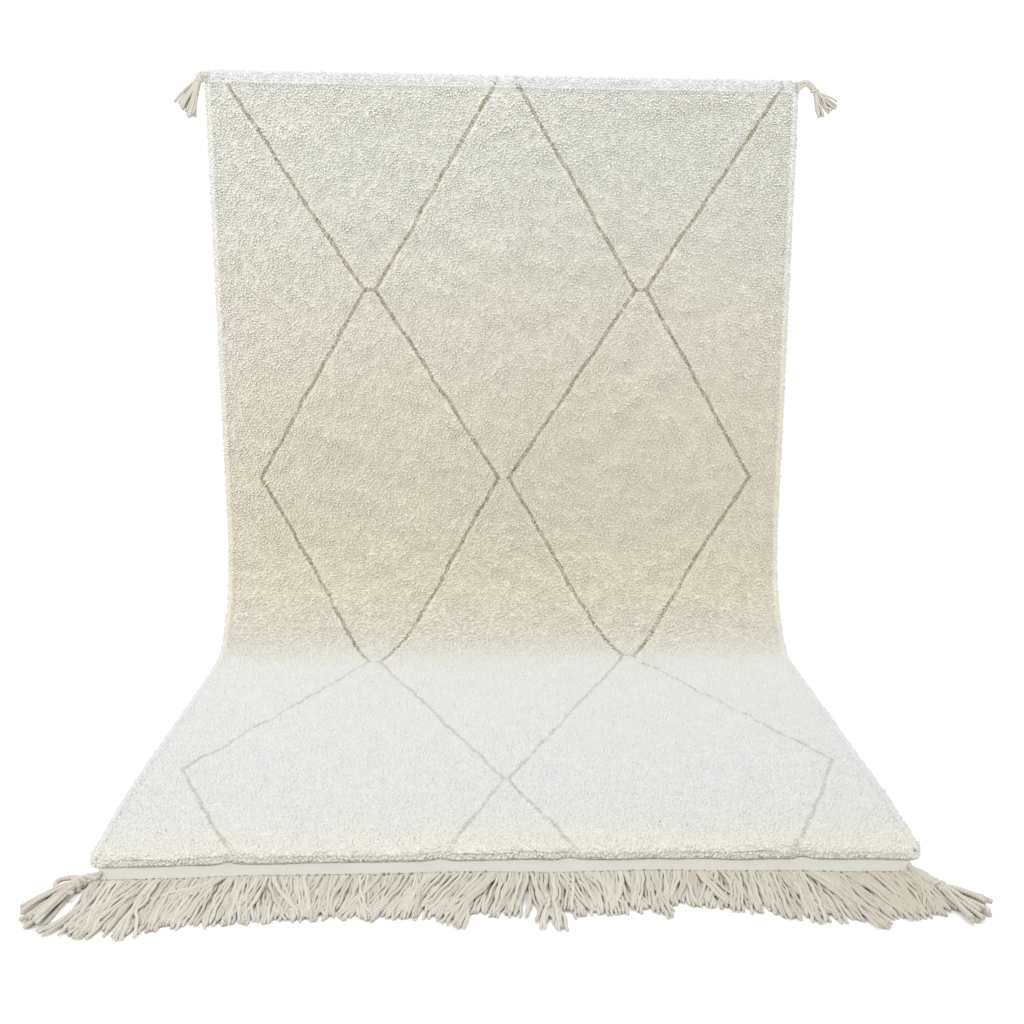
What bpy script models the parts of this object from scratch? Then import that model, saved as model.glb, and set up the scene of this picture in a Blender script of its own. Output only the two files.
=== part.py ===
"""A beni ourain rug that hangs from its top edge, sweeps forward at its foot and lies on the floor.

Metres, +Z up. The rug faces -Y, with +X to the viewer's right. The origin is the middle of the
hanging edge, and the floor lies HANG_HEIGHT below it. A point of the rug is given by u, across
from the middle, s, along the rug from its hanging edge, and h, through it from its mid-surface
towards the pile's face.
"""

import math

import bmesh
import bpy
import numpy as np
from mathutils import Vector, geometry, noise

# The rug as woven.
RUG_WIDTH = 1.500
PILE_LENGTH = 2.609
RUG_THICKNESS = 0.024
CLOTH_THICKNESS = 0.004
LINE_DEPTH = 0.006
LINE_HALF_WIDTH = 0.007

# How it hangs and lies: a straight drop, a sweep that turns ever faster, and a flat run.
HANG_HEIGHT = 1.500
SWEEP_LENGTH = 0.589
SWEEP_POWER = 2.33
EDGE_SLOPE = 0.0120
EDGE_REACH = 0.500
SWAY_DEPTH = 0.004
SWAY_WIDTH = 0.620
SWAY_PHASE = 1.3
SWAY_SLANT = (9.0, 2.3)
SWAY_START = 0.150
TOP_CORNER_RADIUS = 0.010
FRONT_CORNER_RADIUS = 0.026
LEFT_TAPER = 0.011
RIGHT_TAPER = 0.007
FRONT_BOW = 0.015
FRONT_SKEW = 0.007
TAPER_LENGTH = 0.300

# The lumps of the pile and the locks of its rim.
LUMP_HEIGHT = 0.0060
LUMP_SIZE = 0.080
SMALL_LUMP_SIZE = 0.035
FIRST_ROW_SHARE = 0.8
FRONT_STEP = 0.050
BACK_STEP = 0.110
BACK_SWEEP_STEP = 0.040
TIGHT_SWEEP = (0.35, 1.02)
RIM_PITCH = 0.030
RIM_LOCK = 0.0022
LEAST_LOCK_SHARE = 0.4
RIM_LOCK_SHIFT = 0.0045
RIM_EVEN_AT_CORNER = 3
FACE_INSET = 0.011
CLOTH_INSET = 0.008

# The lattice of lines, row by row. A line joins each corner of a row of two to the two nearest
# corners of the rows above and below it. The last row lies past the front end.
LATTICE_ROWS = (
    # each corner's place across the rug and down it, from left to right
    ((-0.705, 0.016), (-0.016, 0.016), (0.034, 0.016), (0.707, 0.016)),
    ((-0.349, 0.533), (0.361, 0.533)),
    ((-0.652, 1.030), (-0.014, 1.030), (0.014, 1.030), (0.664, 1.030)),
    ((-0.336, 1.589), (0.326, 1.560)),
    ((-0.665, 2.247), (-0.004, 2.303), (0.004, 2.303), (0.685, 2.213)),
    ((-0.274, 3.064), (0.320, 3.070)),
)
LINE_STEP = 0.055
LINE_CLEARANCE = 0.018
LINE_WOBBLE = 0.005
LINE_WOBBLE_SIZE = 0.053
LINE_END = PILE_LENGTH - 0.020

# The flat band at the front end and its fringe.
BAND_HALF_WIDTH = 0.715
BAND_LENGTH = 0.062
BAND_UNEVEN = 0.005
BAND_UNEVEN_SIZE = 0.170
BAND_THICKNESS = 0.003
BAND_SECTION_STRANDS = 9
FRINGE_STRANDS = 144
FRINGE_FORM = (
    # a strand's root across the band, how far it reaches and how far aside its tip lies
    (-0.715, 0.168, -0.014),
    (-0.600, 0.164, -0.042),
    (-0.500, 0.156, -0.044),
    (-0.420, 0.148, 0.016),
    (-0.200, 0.142, -0.042),
    (-0.100, 0.154, -0.048),
    (0.000, 0.138, -0.048),
    (0.100, 0.140, 0.034),
    (0.190, 0.134, 0.018),
    (0.310, 0.112, -0.010),
    (0.430, 0.138, 0.004),
    (0.530, 0.160, 0.043),
    (0.620, 0.152, 0.036),
    (0.715, 0.140, 0.012),
)
FRINGE_LENGTH_SPREAD = 0.014
STRAND_ROOT_SHARE = 0.78
STRAND_HEIGHT = 0.0070
STRAND_HEIGHT_SPREAD = 0.0020
STRAND_TIP = 0.0052
STRAND_TIP_HEIGHT = 0.0042
STRAND_BENDS = 3
LEAN_POWER = 1.4
CLUMP_WIDTHS = (0.030, 0.068)
CLUMP_SWING = 0.003
CLUMP_PULL = 0.12

# The corner tassels, a cord, a knot and loose strands each. Angles are in degrees.
TASSEL_STRANDS = 8
TASSEL_STRAND_SHARE = 0.78
TASSEL_STRAND_BENDS = 3
TASSEL_STRAND_TIP = 0.0034
TASSEL_STRAND_THINS_BY = 0.625
SHORTEST_STRAND_SHARE = 0.86
TOP_TASSELS = (
    # swing of the strands from straight down, how far they spread, and both parts' lengths
    {"side": -1, "name": "left", "heading": 27.0, "splay": 22.0, "head": 0.028, "length": 0.080},
    {"side": 1, "name": "right", "heading": 44.0, "splay": 29.0, "head": 0.040, "length": 0.060},
)
FRONT_TASSELS = (
    # swing of the strands from straight forward, how far they spread, and both parts' lengths
    {"side": -1, "name": "left", "heading": 15.0, "splay": 14.0, "head": 0.068, "length": 0.100},
    {"side": 1, "name": "right", "heading": 18.0, "splay": 11.0, "head": 0.066, "length": 0.118},
)
TASSEL_STATIONS = (
    # share of the way from the corner to the strands, share of the knot's width and height
    {"along": 0.00, "width": 0.50, "height": 0.55},
    {"along": 0.22, "width": 0.46, "height": 0.55},
    {"along": 0.42, "width": 0.58, "height": 0.62},
    {"along": 0.54, "width": 0.98, "height": 0.97},
    {"along": 0.70, "width": 1.00, "height": 1.00},
    {"along": 0.80, "width": 0.70, "height": 0.66},
    {"along": 1.00, "width": 1.05, "height": 0.58},
)
HEAD_ROUNDNESS = 0.93
HEAD_TURN = 0.45
HEAD_TURN_STEPS = 6
TOP_TASSEL_SHARE = 0.55
TOP_TASSEL_OUT = 0.0009
TOP_HEAD = {"half_width": 0.0105, "height": 0.017}
FRONT_BACK = 0.030
FRONT_HEAD = {"half_width": 0.0160, "height": 0.022}

WOOL_CREAM = (0.80, 0.765, 0.675)
BAND_CREAM = (0.73, 0.70, 0.615)
YARN_CREAM = (0.76, 0.72, 0.625)
WOOL_ROUGHNESS = 0.95
SHARP_ANGLE = 50.0

GAP = 0.0003
SEED = 11
FLOOR = -HANG_HEIGHT
HALF_WIDTH = RUG_WIDTH / 2
HALF_THICKNESS = RUG_THICKNESS / 2
BAND_BACK = PILE_LENGTH - CLOTH_INSET + GAP
SWEEP_STEPS = 800
X_AXIS = Vector((1.0, 0.0, 0.0))
Y_AXIS = Vector((0.0, 1.0, 0.0))
Z_AXIS = Vector((0.0, 0.0, 1.0))


def smooth(x):
    """Rises gently from 0 to 1 while x goes from 0 to 1."""
    x = min(max(x, 0.0), 1.0)
    return x * x * (3.0 - 2.0 * x)


def sweep_table():
    """How far the foot's sweep has come forward and gone down, and its turn, along its length."""
    along = np.linspace(0.0, SWEEP_LENGTH, SWEEP_STEPS)
    turn = math.pi / 2 * (along / SWEEP_LENGTH) ** SWEEP_POWER
    middle = (turn[1:] + turn[:-1]) / 2
    step = along[1] - along[0]
    forward = np.concatenate([[0.0], np.cumsum(np.sin(middle) * step)])
    down = np.concatenate([[0.0], np.cumsum(np.cos(middle) * step)])
    return {"along": along, "forward": forward, "down": down, "turn": turn}


SWEEP = sweep_table()
DROP = HANG_HEIGHT - HALF_THICKNESS - SWEEP["down"][-1]


def profile(s):
    """Where the mid-surface is at s: how far forward and down, and its turn from the vertical."""
    in_sweep = min(max(s - DROP, 0.0), SWEEP_LENGTH)
    forward = np.interp(in_sweep, SWEEP["along"], SWEEP["forward"])
    forward += max(s - DROP - SWEEP_LENGTH, 0.0)
    down = min(s, DROP) + np.interp(in_sweep, SWEEP["along"], SWEEP["down"])
    turn = np.interp(in_sweep, SWEEP["along"], SWEEP["turn"])
    return float(forward), float(down), float(turn)


def sway(u, s):
    """The hanging part's broad, shallow folds, which die out at the top edge and in the sweep."""
    fades = smooth(s / SWAY_START) * smooth((DROP + SWEEP_LENGTH / 2 - s) / (2 * SWAY_START))
    wave = math.sin(2 * math.pi * u / SWAY_WIDTH + SWAY_PHASE)
    wave += math.sin(SWAY_SLANT[0] * u + SWAY_SLANT[1] * s) / 2
    return SWAY_DEPTH * fades * wave


def front_bow(u):
    """How far the front end is drawn back at u: most in the middle, and more to the right."""
    share = u / HALF_WIDTH
    return FRONT_BOW * (1.0 - share * share) + FRONT_SKEW * share


def taper_share(u):
    """By what share the front end is narrower than the rug, on the side of u."""
    return (LEFT_TAPER if u < 0 else RIGHT_TAPER) / HALF_WIDTH


def outline(u, s):
    """The point u, s with the rug's corners rounded and its front end drawn in and bowed."""
    middle = PILE_LENGTH / 2
    radius = TOP_CORNER_RADIUS if s < middle else FRONT_CORNER_RADIUS
    past_side = abs(u) - HALF_WIDTH + radius
    past_end = abs(s - middle) - middle + radius
    if past_side > 0 and past_end > 0:
        kept = max(past_side, past_end) / math.hypot(past_side, past_end)
        u -= math.copysign(past_side * (1.0 - kept), u)
        s -= math.copysign(past_end * (1.0 - kept), s - middle)
    near_front = smooth((s - PILE_LENGTH + TAPER_LENGTH) / TAPER_LENGTH)
    s -= front_bow(u) * near_front
    return u * (1.0 - taper_share(u) * near_front), s


def place(u, s, h):
    """The point in space of the rug's point u, s, h."""
    u, s = outline(u, s)
    forward, down, turn = profile(s)
    uneven_edge = -EDGE_SLOPE * (u / HALF_WIDTH) * smooth(1.0 - s / EDGE_REACH)
    y = -forward - math.cos(turn) * h - sway(u, s)
    z = -down + math.sin(turn) * h + uneven_edge
    return Vector((u, y, z))


def lump(u, s):
    """The pile's slow rise and fall."""
    wide = noise.noise(Vector((u, s, 0.0)) / LUMP_SIZE)
    small = noise.noise(Vector((u, s, 0.0)) / SMALL_LUMP_SIZE)
    return LUMP_HEIGHT * (wide + small / 2)


def lattice_segments():
    """The straight runs of the lattice, as pairs of corners (u, s)."""
    runs = []
    for upper, lower in zip(LATTICE_ROWS, LATTICE_ROWS[1:]):
        few, many = sorted((upper, lower), key=len)
        for i, corner in enumerate(few):
            for other in many[2 * i : 2 * i + 2]:
                runs.append(sorted((corner, other), key=lambda point: point[1]))
    return runs


def line_route(start, end):
    """A line's points from corner to corner, a little unsteady, as far as the pile goes."""
    start, end = np.array(start), np.array(end)
    if end[1] > LINE_END:
        end = start + (end - start) * (LINE_END - start[1]) / (end[1] - start[1])
    run = end - start
    across = np.array((-run[1], run[0])) / np.linalg.norm(run)
    steps = round(np.linalg.norm(run) / LINE_STEP)
    points = []
    for i in range(steps + 1):
        point = start + run * i / steps
        fade = math.sin(math.pi * i / steps)
        wander = noise.noise(Vector((*point, 0.0)) / LINE_WOBBLE_SIZE)
        points.append(point + across * LINE_WOBBLE * fade * wander)
    return points


def line_edges(route):
    """A line's middle and its two edges, as three rows of points."""
    rows = []
    run = route[-1] - route[0]
    across = np.array((-run[1], run[0])) / np.linalg.norm(run)
    for share in (-1.0, 0.0, 1.0):
        rows.append([point + across * LINE_HALF_WIDTH * share for point in route])
    return rows


def distance_to_lines(u, s, starts, ends):
    """How far the point is from the nearest stretch of a line."""
    point = np.array((u, s))
    runs = ends - starts
    share = np.clip(((point - starts) * runs).sum(1) / (runs * runs).sum(1), 0.0, 1.0)
    return float(np.linalg.norm(point - starts - share[:, None] * runs, axis=1).min())


def rim_count():
    """How many points a ring of the rim has along the rug's width and along its length."""
    return 2 * round(RUG_WIDTH / RIM_PITCH / 2), 2 * round(PILE_LENGTH / RIM_PITCH / 2)


def rim_ring(inset):
    """The points (u, s) of a ring that runs round the rug, inset from its outline."""
    across, along = rim_count()
    left, right = -HALF_WIDTH + inset, HALF_WIDTH - inset
    top, front = inset, PILE_LENGTH - inset
    ring = [(left, top + (front - top) * i / along) for i in range(along)]
    ring += [(left + (right - left) * i / across, front) for i in range(across)]
    ring += [(right, front - (front - top) * i / along) for i in range(along)]
    ring += [(right - (right - left) * i / across, top) for i in range(across)]
    return ring


def rim_locks():
    """The rim's outermost ring: locks that stand out in turn, with the corners drawn in."""
    rng = np.random.default_rng(SEED)
    across, along = rim_count()
    corners = (0, along, along + across, 2 * along + across)
    ring = rim_ring(0.0)
    inner = rim_ring(CLOTH_INSET)
    locks = []
    for i, (outer_point, inner_point) in enumerate(zip(ring, inner)):
        outwards = np.array(outer_point) - np.array(inner_point)
        outwards /= np.abs(outwards).max()
        if i in corners:
            # The top corners stand square, where the side cords come out.
            drawn_in = 2 * RIM_LOCK if outer_point[1] > 0 else 0.0
            locks.append(np.array(outer_point) - outwards * drawn_in)
            continue
        out = RIM_LOCK * (1 if i % 2 else -1) * rng.uniform(LEAST_LOCK_SHARE, 1.0)
        sideways = RIM_LOCK_SHIFT * rng.uniform(-1.0, 1.0, 2) * (outwards == 0)
        if min(abs(i - corner) for corner in (*corners, len(ring))) < RIM_EVEN_AT_CORNER:
            out, sideways = 0.0, 0.0
        locks.append(np.array(outer_point) + outwards * out + sideways)
    return locks


def grid_points(step, inset, sweep_step=None):
    """Points (u, s) of a staggered grid inside the rug's outline."""
    points = []
    columns = math.ceil((RUG_WIDTH - 2 * inset) / step)
    pitch = (RUG_WIDTH - 2 * inset) / columns
    s, row = inset + step * FIRST_ROW_SHARE, 0
    while s < PILE_LENGTH - inset - step / 2:
        first, count = (0.5, columns) if row % 2 else (1.0, columns - 1)
        points += [(-HALF_WIDTH + inset + pitch * (first + i), s) for i in range(count)]
        share = (s - DROP) / SWEEP_LENGTH
        s += sweep_step if sweep_step and TIGHT_SWEEP[0] < share < TIGHT_SWEEP[1] else step
        row += 1
    return points


def triangulated(ring, points, routes):
    """A flat triangle mesh in (u, s) inside the ring: its points, triangles and ring indices."""
    flat = [Vector(p) for p in ring] + [Vector(p) for p in points]
    edges = [(i, (i + 1) % len(ring)) for i in range(len(ring))]
    for route in routes:
        first = len(flat)
        flat += [Vector(p) for p in route]
        edges += [(first + i, first + i + 1) for i in range(len(route) - 1)]
    found = geometry.delaunay_2d_cdt(flat, edges, [], 0, 1e-6)
    places, triangles, origins = found[0], found[2], found[3]
    index_of = {}
    for new, old in enumerate(origins):
        for each in old:
            index_of[each] = new
    return places, triangles, [index_of[i] for i in range(len(ring))]


def add_surface(bm, places, triangles, height, towards_face):
    """Adds one face of the slab, with height(u, s) as its place through the rug."""
    verts = [bm.verts.new(place(u, s, height(u, s))) for u, s in places]
    for triangle in triangles:
        # Counter-clockwise in (u, s) faces the back, because s runs down the rug.
        a, b, c = (places[i] for i in triangle)
        turn = (b[0] - a[0]) * (c[1] - a[1]) - (b[1] - a[1]) * (c[0] - a[0])
        order = triangle if (turn < 0) == towards_face else triangle[::-1]
        bm.faces.new([verts[i] for i in order])
    return verts


def pile_mesh():
    """The knotted rug as one slab: lumpy face, sunk lines, plain back, locks at its rim."""
    routes = [line_route(start, end) for start, end in lattice_segments()]
    starts = np.concatenate([route[:-1] for route in routes])
    ends = np.concatenate([route[1:] for route in routes])
    line_rows = [row for route in routes for row in line_edges(route)]

    def near_line(u, s):
        return distance_to_lines(u, s, starts, ends)

    def face_height(u, s):
        sunk = max(0.0, 1.0 - (near_line(u, s) / LINE_HALF_WIDTH) ** 2)
        return HALF_THICKNESS + lump(u, s) - LINE_DEPTH * sunk

    grid = grid_points(FRONT_STEP, FACE_INSET)
    face_points = [point for point in grid if near_line(*point) > LINE_CLEARANCE]
    face_ring = rim_ring(FACE_INSET)
    back_ring = rim_ring(CLOTH_INSET)
    face = triangulated(face_ring, face_points, line_rows)
    back = triangulated(back_ring, grid_points(BACK_STEP, CLOTH_INSET, BACK_SWEEP_STEP), [])

    bm = bmesh.new()
    face_verts = add_surface(bm, face[0], face[1], face_height, True)
    back_verts = add_surface(bm, back[0], back[1], lambda u, s: -HALF_THICKNESS, False)
    wall_height = -HALF_THICKNESS + CLOTH_THICKNESS
    rings = [
        [face_verts[i] for i in face[2]],
        [bm.verts.new(place(u, s, 0.0)) for u, s in rim_locks()],
        [bm.verts.new(place(u, s, wall_height)) for u, s in back_ring],
        [back_verts[i] for i in back[2]],
    ]
    for upper, lower in zip(rings, rings[1:]):
        for i in range(len(upper)):
            j = (i + 1) % len(upper)
            bm.faces.new((upper[i], lower[i], lower[j], upper[j]))
    bmesh.ops.recalc_face_normals(bm, faces=bm.faces)
    return bm


def band_back(x):
    """How far forward the band's back edge lies at x, just past the cloth that it grows from."""
    return profile(BAND_BACK)[0] - front_bow(x / (1.0 - taper_share(x)))


def band_front(x):
    """How far forward the band's front edge lies at x, a little uneven."""
    uneven = noise.noise(Vector((x, 0.0, 0.0)) / BAND_UNEVEN_SIZE)
    return band_back(x) + BAND_LENGTH + BAND_UNEVEN * uneven


def strand_roots():
    """The left and right side of each strand's root, across the band's front."""
    pitch = 2 * BAND_HALF_WIDTH / FRINGE_STRANDS
    half = pitch * STRAND_ROOT_SHARE / 2
    middles = [-BAND_HALF_WIDTH + pitch * (i + 0.5) for i in range(FRINGE_STRANDS)]
    return [(x - half, x + half) for x in middles]


def fringe_clumps():
    """The clumps that the fringe falls into, from left to right: middle, right end and swing."""
    rng = np.random.default_rng(SEED + 3)
    clumps, left = [], -BAND_HALF_WIDTH
    while left < BAND_HALF_WIDTH:
        width = rng.uniform(*CLUMP_WIDTHS)
        swing = CLUMP_SWING * rng.uniform(-1.0, 1.0)
        clumps.append({"middle": left + width / 2, "right": left + width, "swing": swing})
        left += width
    return clumps


def fringe_form(root):
    """How far the fringe reaches beyond the band at root, and how far aside it falls there."""
    roots, reaches, asides = zip(*FRINGE_FORM)
    return float(np.interp(root, roots, reaches)), float(np.interp(root, roots, asides))


def strand_shift(root, reach, clumps):
    """How far sideways a strand from root lies at that reach: it leans over and clumps."""
    full_reach, aside = fringe_form(root)
    clump = next(clump for clump in clumps if root < clump["right"])
    aside += clump["swing"] + CLUMP_PULL * (clump["middle"] - root)
    return aside * (reach / full_reach) ** LEAN_POWER


def grow_strand(bm, face, stations):
    """Draws a four-cornered face out through the stations, each a section on its own base."""
    for station in stations:
        face = bmesh.ops.extrude_discrete_faces(bm, faces=[face])["faces"][0]
        middle = face.calc_center_median()
        for vert in face.verts:
            offset = vert.co - middle
            side = math.copysign(station["half"], offset.dot(station["across"]))
            rise = station["height"] if offset.dot(station["up"]) > 0 else 0.0
            vert.co = station["base"] + station["across"] * side + station["up"] * rise


def band_mesh():
    """The flat-woven end band with its fringe, lying on the floor, as one solid."""
    bm = bmesh.new()
    roots = strand_roots()
    front_x = [-BAND_HALF_WIDTH] + [x for pair in roots for x in pair] + [BAND_HALF_WIDTH]
    front = [bm.verts.new((x, -band_front(x), FLOOR)) for x in front_x]
    last = len(front_x) - 1
    breaks = [*range(0, last, 2 * BAND_SECTION_STRANDS), last]
    back = [bm.verts.new((front_x[i], -band_back(front_x[i]), FLOOR)) for i in breaks]
    for k, (first, end) in enumerate(zip(breaks, breaks[1:])):
        bm.faces.new([back[k + 1], back[k], *front[first : end + 1]])
    risen = bmesh.ops.extrude_face_region(bm, geom=bm.faces[:])["geom"]
    risen = [item for item in risen if isinstance(item, bmesh.types.BMVert)]
    bmesh.ops.translate(bm, verts=risen, vec=Z_AXIS * BAND_THICKNESS)
    bmesh.ops.recalc_face_normals(bm, faces=bm.faces)
    add_fringe(bm, roots)
    return bm


def root_faces(bm):
    """The band's front faces that the strands grow from, from left to right."""
    ahead = [face for face in bm.faces if len(face.verts) == 4 and face.normal.y < -0.5]
    ahead.sort(key=lambda face: face.calc_center_median().x)
    # A gap comes first, and then a root and a gap in turn.
    return ahead[1::2]


def add_fringe(bm, roots):
    """Grows the strands out of the band's front and along the floor."""
    rng = np.random.default_rng(SEED + 1)
    clumps = fringe_clumps()
    for face, (left, right) in zip(root_faces(bm), roots):
        root, start_y = (left + right) / 2, face.calc_center_median().y
        length = fringe_form(root)[0] + FRINGE_LENGTH_SPREAD * rng.uniform(-1.0, 1.0)
        height = STRAND_HEIGHT + STRAND_HEIGHT_SPREAD * rng.uniform(-1.0, 1.0)
        stations = []
        for bend in range(1, STRAND_BENDS + 1):
            share = bend / STRAND_BENDS
            reach = length * share
            width = (right - left) * (1.0 - share) + STRAND_TIP * share
            stations.append({
                "base": Vector((root + strand_shift(root, reach, clumps), start_y - reach, FLOOR)),
                "across": X_AXIS,
                "up": Z_AXIS,
                "half": width / 2,
                "height": STRAND_TIP_HEIGHT if bend == STRAND_BENDS else height,
            })
        grow_strand(bm, face, stations)


def cell_edges():
    """The edges of a tassel's strands and of the gaps between them, from -1 to 1."""
    pitch = 2.0 / (TASSEL_STRANDS - 1 + TASSEL_STRAND_SHARE)
    edges = []
    for i in range(TASSEL_STRANDS):
        left = -1.0 + pitch * i
        edges += [left, left + pitch * TASSEL_STRAND_SHARE]
    return edges


def oval_ring(bm, station, on_floor):
    """A ring of a tassel's head: an oval, or on the floor its upper half on a flat base."""
    lower, upper = [], []
    for t in cell_edges():
        arch = math.sqrt(1.0 - (HEAD_ROUNDNESS * t) ** 2)
        low, high = (0.0, arch) if on_floor else (-arch / 2, arch / 2)
        across = station["base"] + station["across"] * station["half"] * t
        lower.append(bm.verts.new(across + station["up"] * station["height"] * low))
        upper.append(bm.verts.new(across + station["up"] * station["height"] * high))
    return lower, upper


def head_stations(start, out, ahead, up, head, form):
    """The sections of a tassel's head, which turns from out towards its heading."""
    stations, point = [], start.copy()
    previous, turned = 0.0, form["heading"] - 90.0
    for station in TASSEL_STATIONS:
        for share in np.linspace(previous, station["along"], HEAD_TURN_STEPS + 1)[1:]:
            angle = math.radians(90.0 + turned * smooth(share / HEAD_TURN))
            step = form["head"] * (station["along"] - previous) / HEAD_TURN_STEPS
            point += (out * math.sin(angle) + ahead * math.cos(angle)) * step
        previous = station["along"]
        angle = math.radians(90.0 + turned * smooth(previous / HEAD_TURN))
        stations.append({
            "base": point.copy(),
            "across": out * math.cos(angle) - ahead * math.sin(angle),
            "up": up,
            "half": head["half_width"] * station["width"],
            "height": head["height"] * station["height"],
        })
    return stations


def tassel_mesh(start, out, ahead, up, head, form, on_floor):
    """A tassel: a cord from the rug's corner, a knot and loose strands, as one solid."""
    bm = bmesh.new()
    stations = head_stations(start, out, ahead, up, head, form)
    rings = [oval_ring(bm, station, on_floor) for station in stations]
    edge_count = 2 * TASSEL_STRANDS
    for ring, following in zip(rings, rings[1:]):
        around = ring[0] + ring[1][::-1]
        around_next = following[0] + following[1][::-1]
        for i in range(2 * edge_count):
            j = (i + 1) % (2 * edge_count)
            bm.faces.new((around[i], around[j], around_next[j], around_next[i]))
    ends = []
    for lower, upper in (rings[0], rings[-1]):
        cells = []
        for i in range(edge_count - 1):
            cells.append(bm.faces.new((lower[i], lower[i + 1], upper[i + 1], upper[i])))
        ends.append(cells)
    bmesh.ops.recalc_face_normals(bm, faces=bm.faces)
    add_loose_strands(bm, ends[1][::2], stations[-1], out, ahead, form, on_floor)
    return bm


def add_loose_strands(bm, faces, last, out, ahead, form, on_floor):
    """Grows a tassel's strands from its head's end, spreading evenly to both sides."""
    rng = np.random.default_rng(SEED + 2)
    for i, face in enumerate(faces):
        share_across = 2.0 * i / (TASSEL_STRANDS - 1) - 1.0
        angle = math.radians(form["heading"] + form["splay"] * share_across)
        along = out * math.sin(angle) + ahead * math.cos(angle)
        across = out * math.cos(angle) - ahead * math.sin(angle)
        middle = face.calc_center_median()
        sides = [(v.co - middle).dot(last["across"]) for v in face.verts]
        heights = [(v.co - middle).dot(last["up"]) for v in face.verts]
        half, height = max(sides), max(heights) - min(heights)
        root = middle + last["up"] * min(heights)
        if on_floor:
            root.z = FLOOR
        length = form["length"] * rng.uniform(SHORTEST_STRAND_SHARE, 1.0)
        stations = []
        for bend in range(1, TASSEL_STRAND_BENDS + 1):
            share = bend / TASSEL_STRAND_BENDS
            thin = smooth(share / TASSEL_STRAND_THINS_BY)
            thick = height + (TASSEL_STRAND_TIP - height) * thin
            lift = 0.0 if on_floor else (height - thick) / 2
            stations.append({
                "base": root + along * length * share + last["up"] * lift,
                "across": across,
                "up": last["up"],
                "half": half + (TASSEL_STRAND_TIP / 2 - half) * share,
                "height": thick,
            })
        grow_strand(bm, face, stations)


def material(name, colour):
    """A matt wool of one colour."""
    made = bpy.data.materials.new(name)
    made.use_nodes = True
    shader = made.node_tree.nodes["Principled BSDF"]
    shader.inputs["Base Color"].default_value = (*colour, 1.0)
    shader.inputs["Roughness"].default_value = WOOL_ROUGHNESS
    shader.inputs["Metallic"].default_value = 0.0
    made.diffuse_color = (*colour, 1.0)
    return made


def add_object(collection, name, bm, colour):
    """Puts a finished mesh into the collection under its name, with its own material."""
    mesh = bpy.data.meshes.new(name)
    bm.to_mesh(mesh)
    bm.free()
    mesh.materials.append(material(name + "_wool", colour))
    mesh.shade_smooth()
    mesh.set_sharp_from_angle(angle=math.radians(SHARP_ANGLE))
    piece = bpy.data.objects.new(name, mesh)
    collection.objects.link(piece)
    return piece


def clear_scene():
    for old in list(bpy.data.objects):
        bpy.data.objects.remove(old, do_unlink=True)


def build():
    """Makes the rug: the knotted rug, its end band with fringe, and four corner tassels."""
    clear_scene()
    rug = bpy.data.collections.new("beni_ourain_rug")
    bpy.context.scene.collection.children.link(rug)
    add_object(rug, "pile_rug", pile_mesh(), WOOL_CREAM)
    add_object(rug, "end_band_fringe", band_mesh(), BAND_CREAM)
    for form in TOP_TASSELS:
        out = X_AXIS * form["side"]
        corner = place(form["side"] * HALF_WIDTH, 0.0, 0.0)
        below = place(form["side"] * HALF_WIDTH, PILE_LENGTH / rim_count()[1], 0.0)
        start = corner.lerp(below, TOP_TASSEL_SHARE) + out * TOP_TASSEL_OUT
        bm = tassel_mesh(start, out, -Z_AXIS, -Y_AXIS, TOP_HEAD, form, False)
        add_object(rug, "top_tassel_" + form["name"], bm, YARN_CREAM)
    for form in FRONT_TASSELS:
        out = X_AXIS * form["side"]
        start_x = form["side"] * (BAND_HALF_WIDTH + GAP)
        start = Vector((start_x, -band_back(start_x) - FRONT_BACK, FLOOR))
        bm = tassel_mesh(start, out, -Y_AXIS, Z_AXIS, FRONT_HEAD, form, True)
        add_object(rug, "front_tassel_" + form["name"], bm, YARN_CREAM)


build()
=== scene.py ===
"""The looks of a beni ourain rug that hangs from its top edge and lies with its foot on the floor.

Metres, +Z up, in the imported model's frame: the rug faces -Y, and the origin is the middle of its
hanging edge. A point of the rug is given by u, across from the middle, s, along the rug from its
hanging edge, and h, through it from its mid-surface towards the pile's face.
"""

import math

import bpy
import numpy as np
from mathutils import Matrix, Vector, noise


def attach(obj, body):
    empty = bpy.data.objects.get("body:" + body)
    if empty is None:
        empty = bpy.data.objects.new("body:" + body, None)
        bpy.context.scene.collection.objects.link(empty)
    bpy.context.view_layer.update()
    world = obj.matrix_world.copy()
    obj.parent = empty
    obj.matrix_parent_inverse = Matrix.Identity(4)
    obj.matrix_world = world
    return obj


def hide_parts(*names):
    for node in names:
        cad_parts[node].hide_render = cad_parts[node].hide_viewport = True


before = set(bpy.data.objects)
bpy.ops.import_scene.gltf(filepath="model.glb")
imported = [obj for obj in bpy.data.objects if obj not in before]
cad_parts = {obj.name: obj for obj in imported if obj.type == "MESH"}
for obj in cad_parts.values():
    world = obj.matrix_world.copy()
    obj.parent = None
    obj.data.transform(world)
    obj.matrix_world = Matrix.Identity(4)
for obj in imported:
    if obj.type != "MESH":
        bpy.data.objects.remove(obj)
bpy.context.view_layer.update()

# The rug's form, as in the model.
RUG_WIDTH = 1.500
PILE_LENGTH = 2.609
RUG_THICKNESS = 0.024
HANG_HEIGHT = 1.500
SWEEP_LENGTH = 0.589
SWEEP_POWER = 2.33
SWEEP_STEPS = 800
EDGE_SLOPE = 0.0120
EDGE_REACH = 0.500
SWAY_DEPTH = 0.004
SWAY_WIDTH = 0.620
SWAY_PHASE = 1.3
SWAY_SLANT = (9.0, 2.3)
SWAY_START = 0.150
TOP_CORNER_RADIUS = 0.010
FRONT_CORNER_RADIUS = 0.026
LEFT_TAPER = 0.011
RIGHT_TAPER = 0.007
FRONT_BOW = 0.015
FRONT_SKEW = 0.007
TAPER_LENGTH = 0.300
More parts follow.
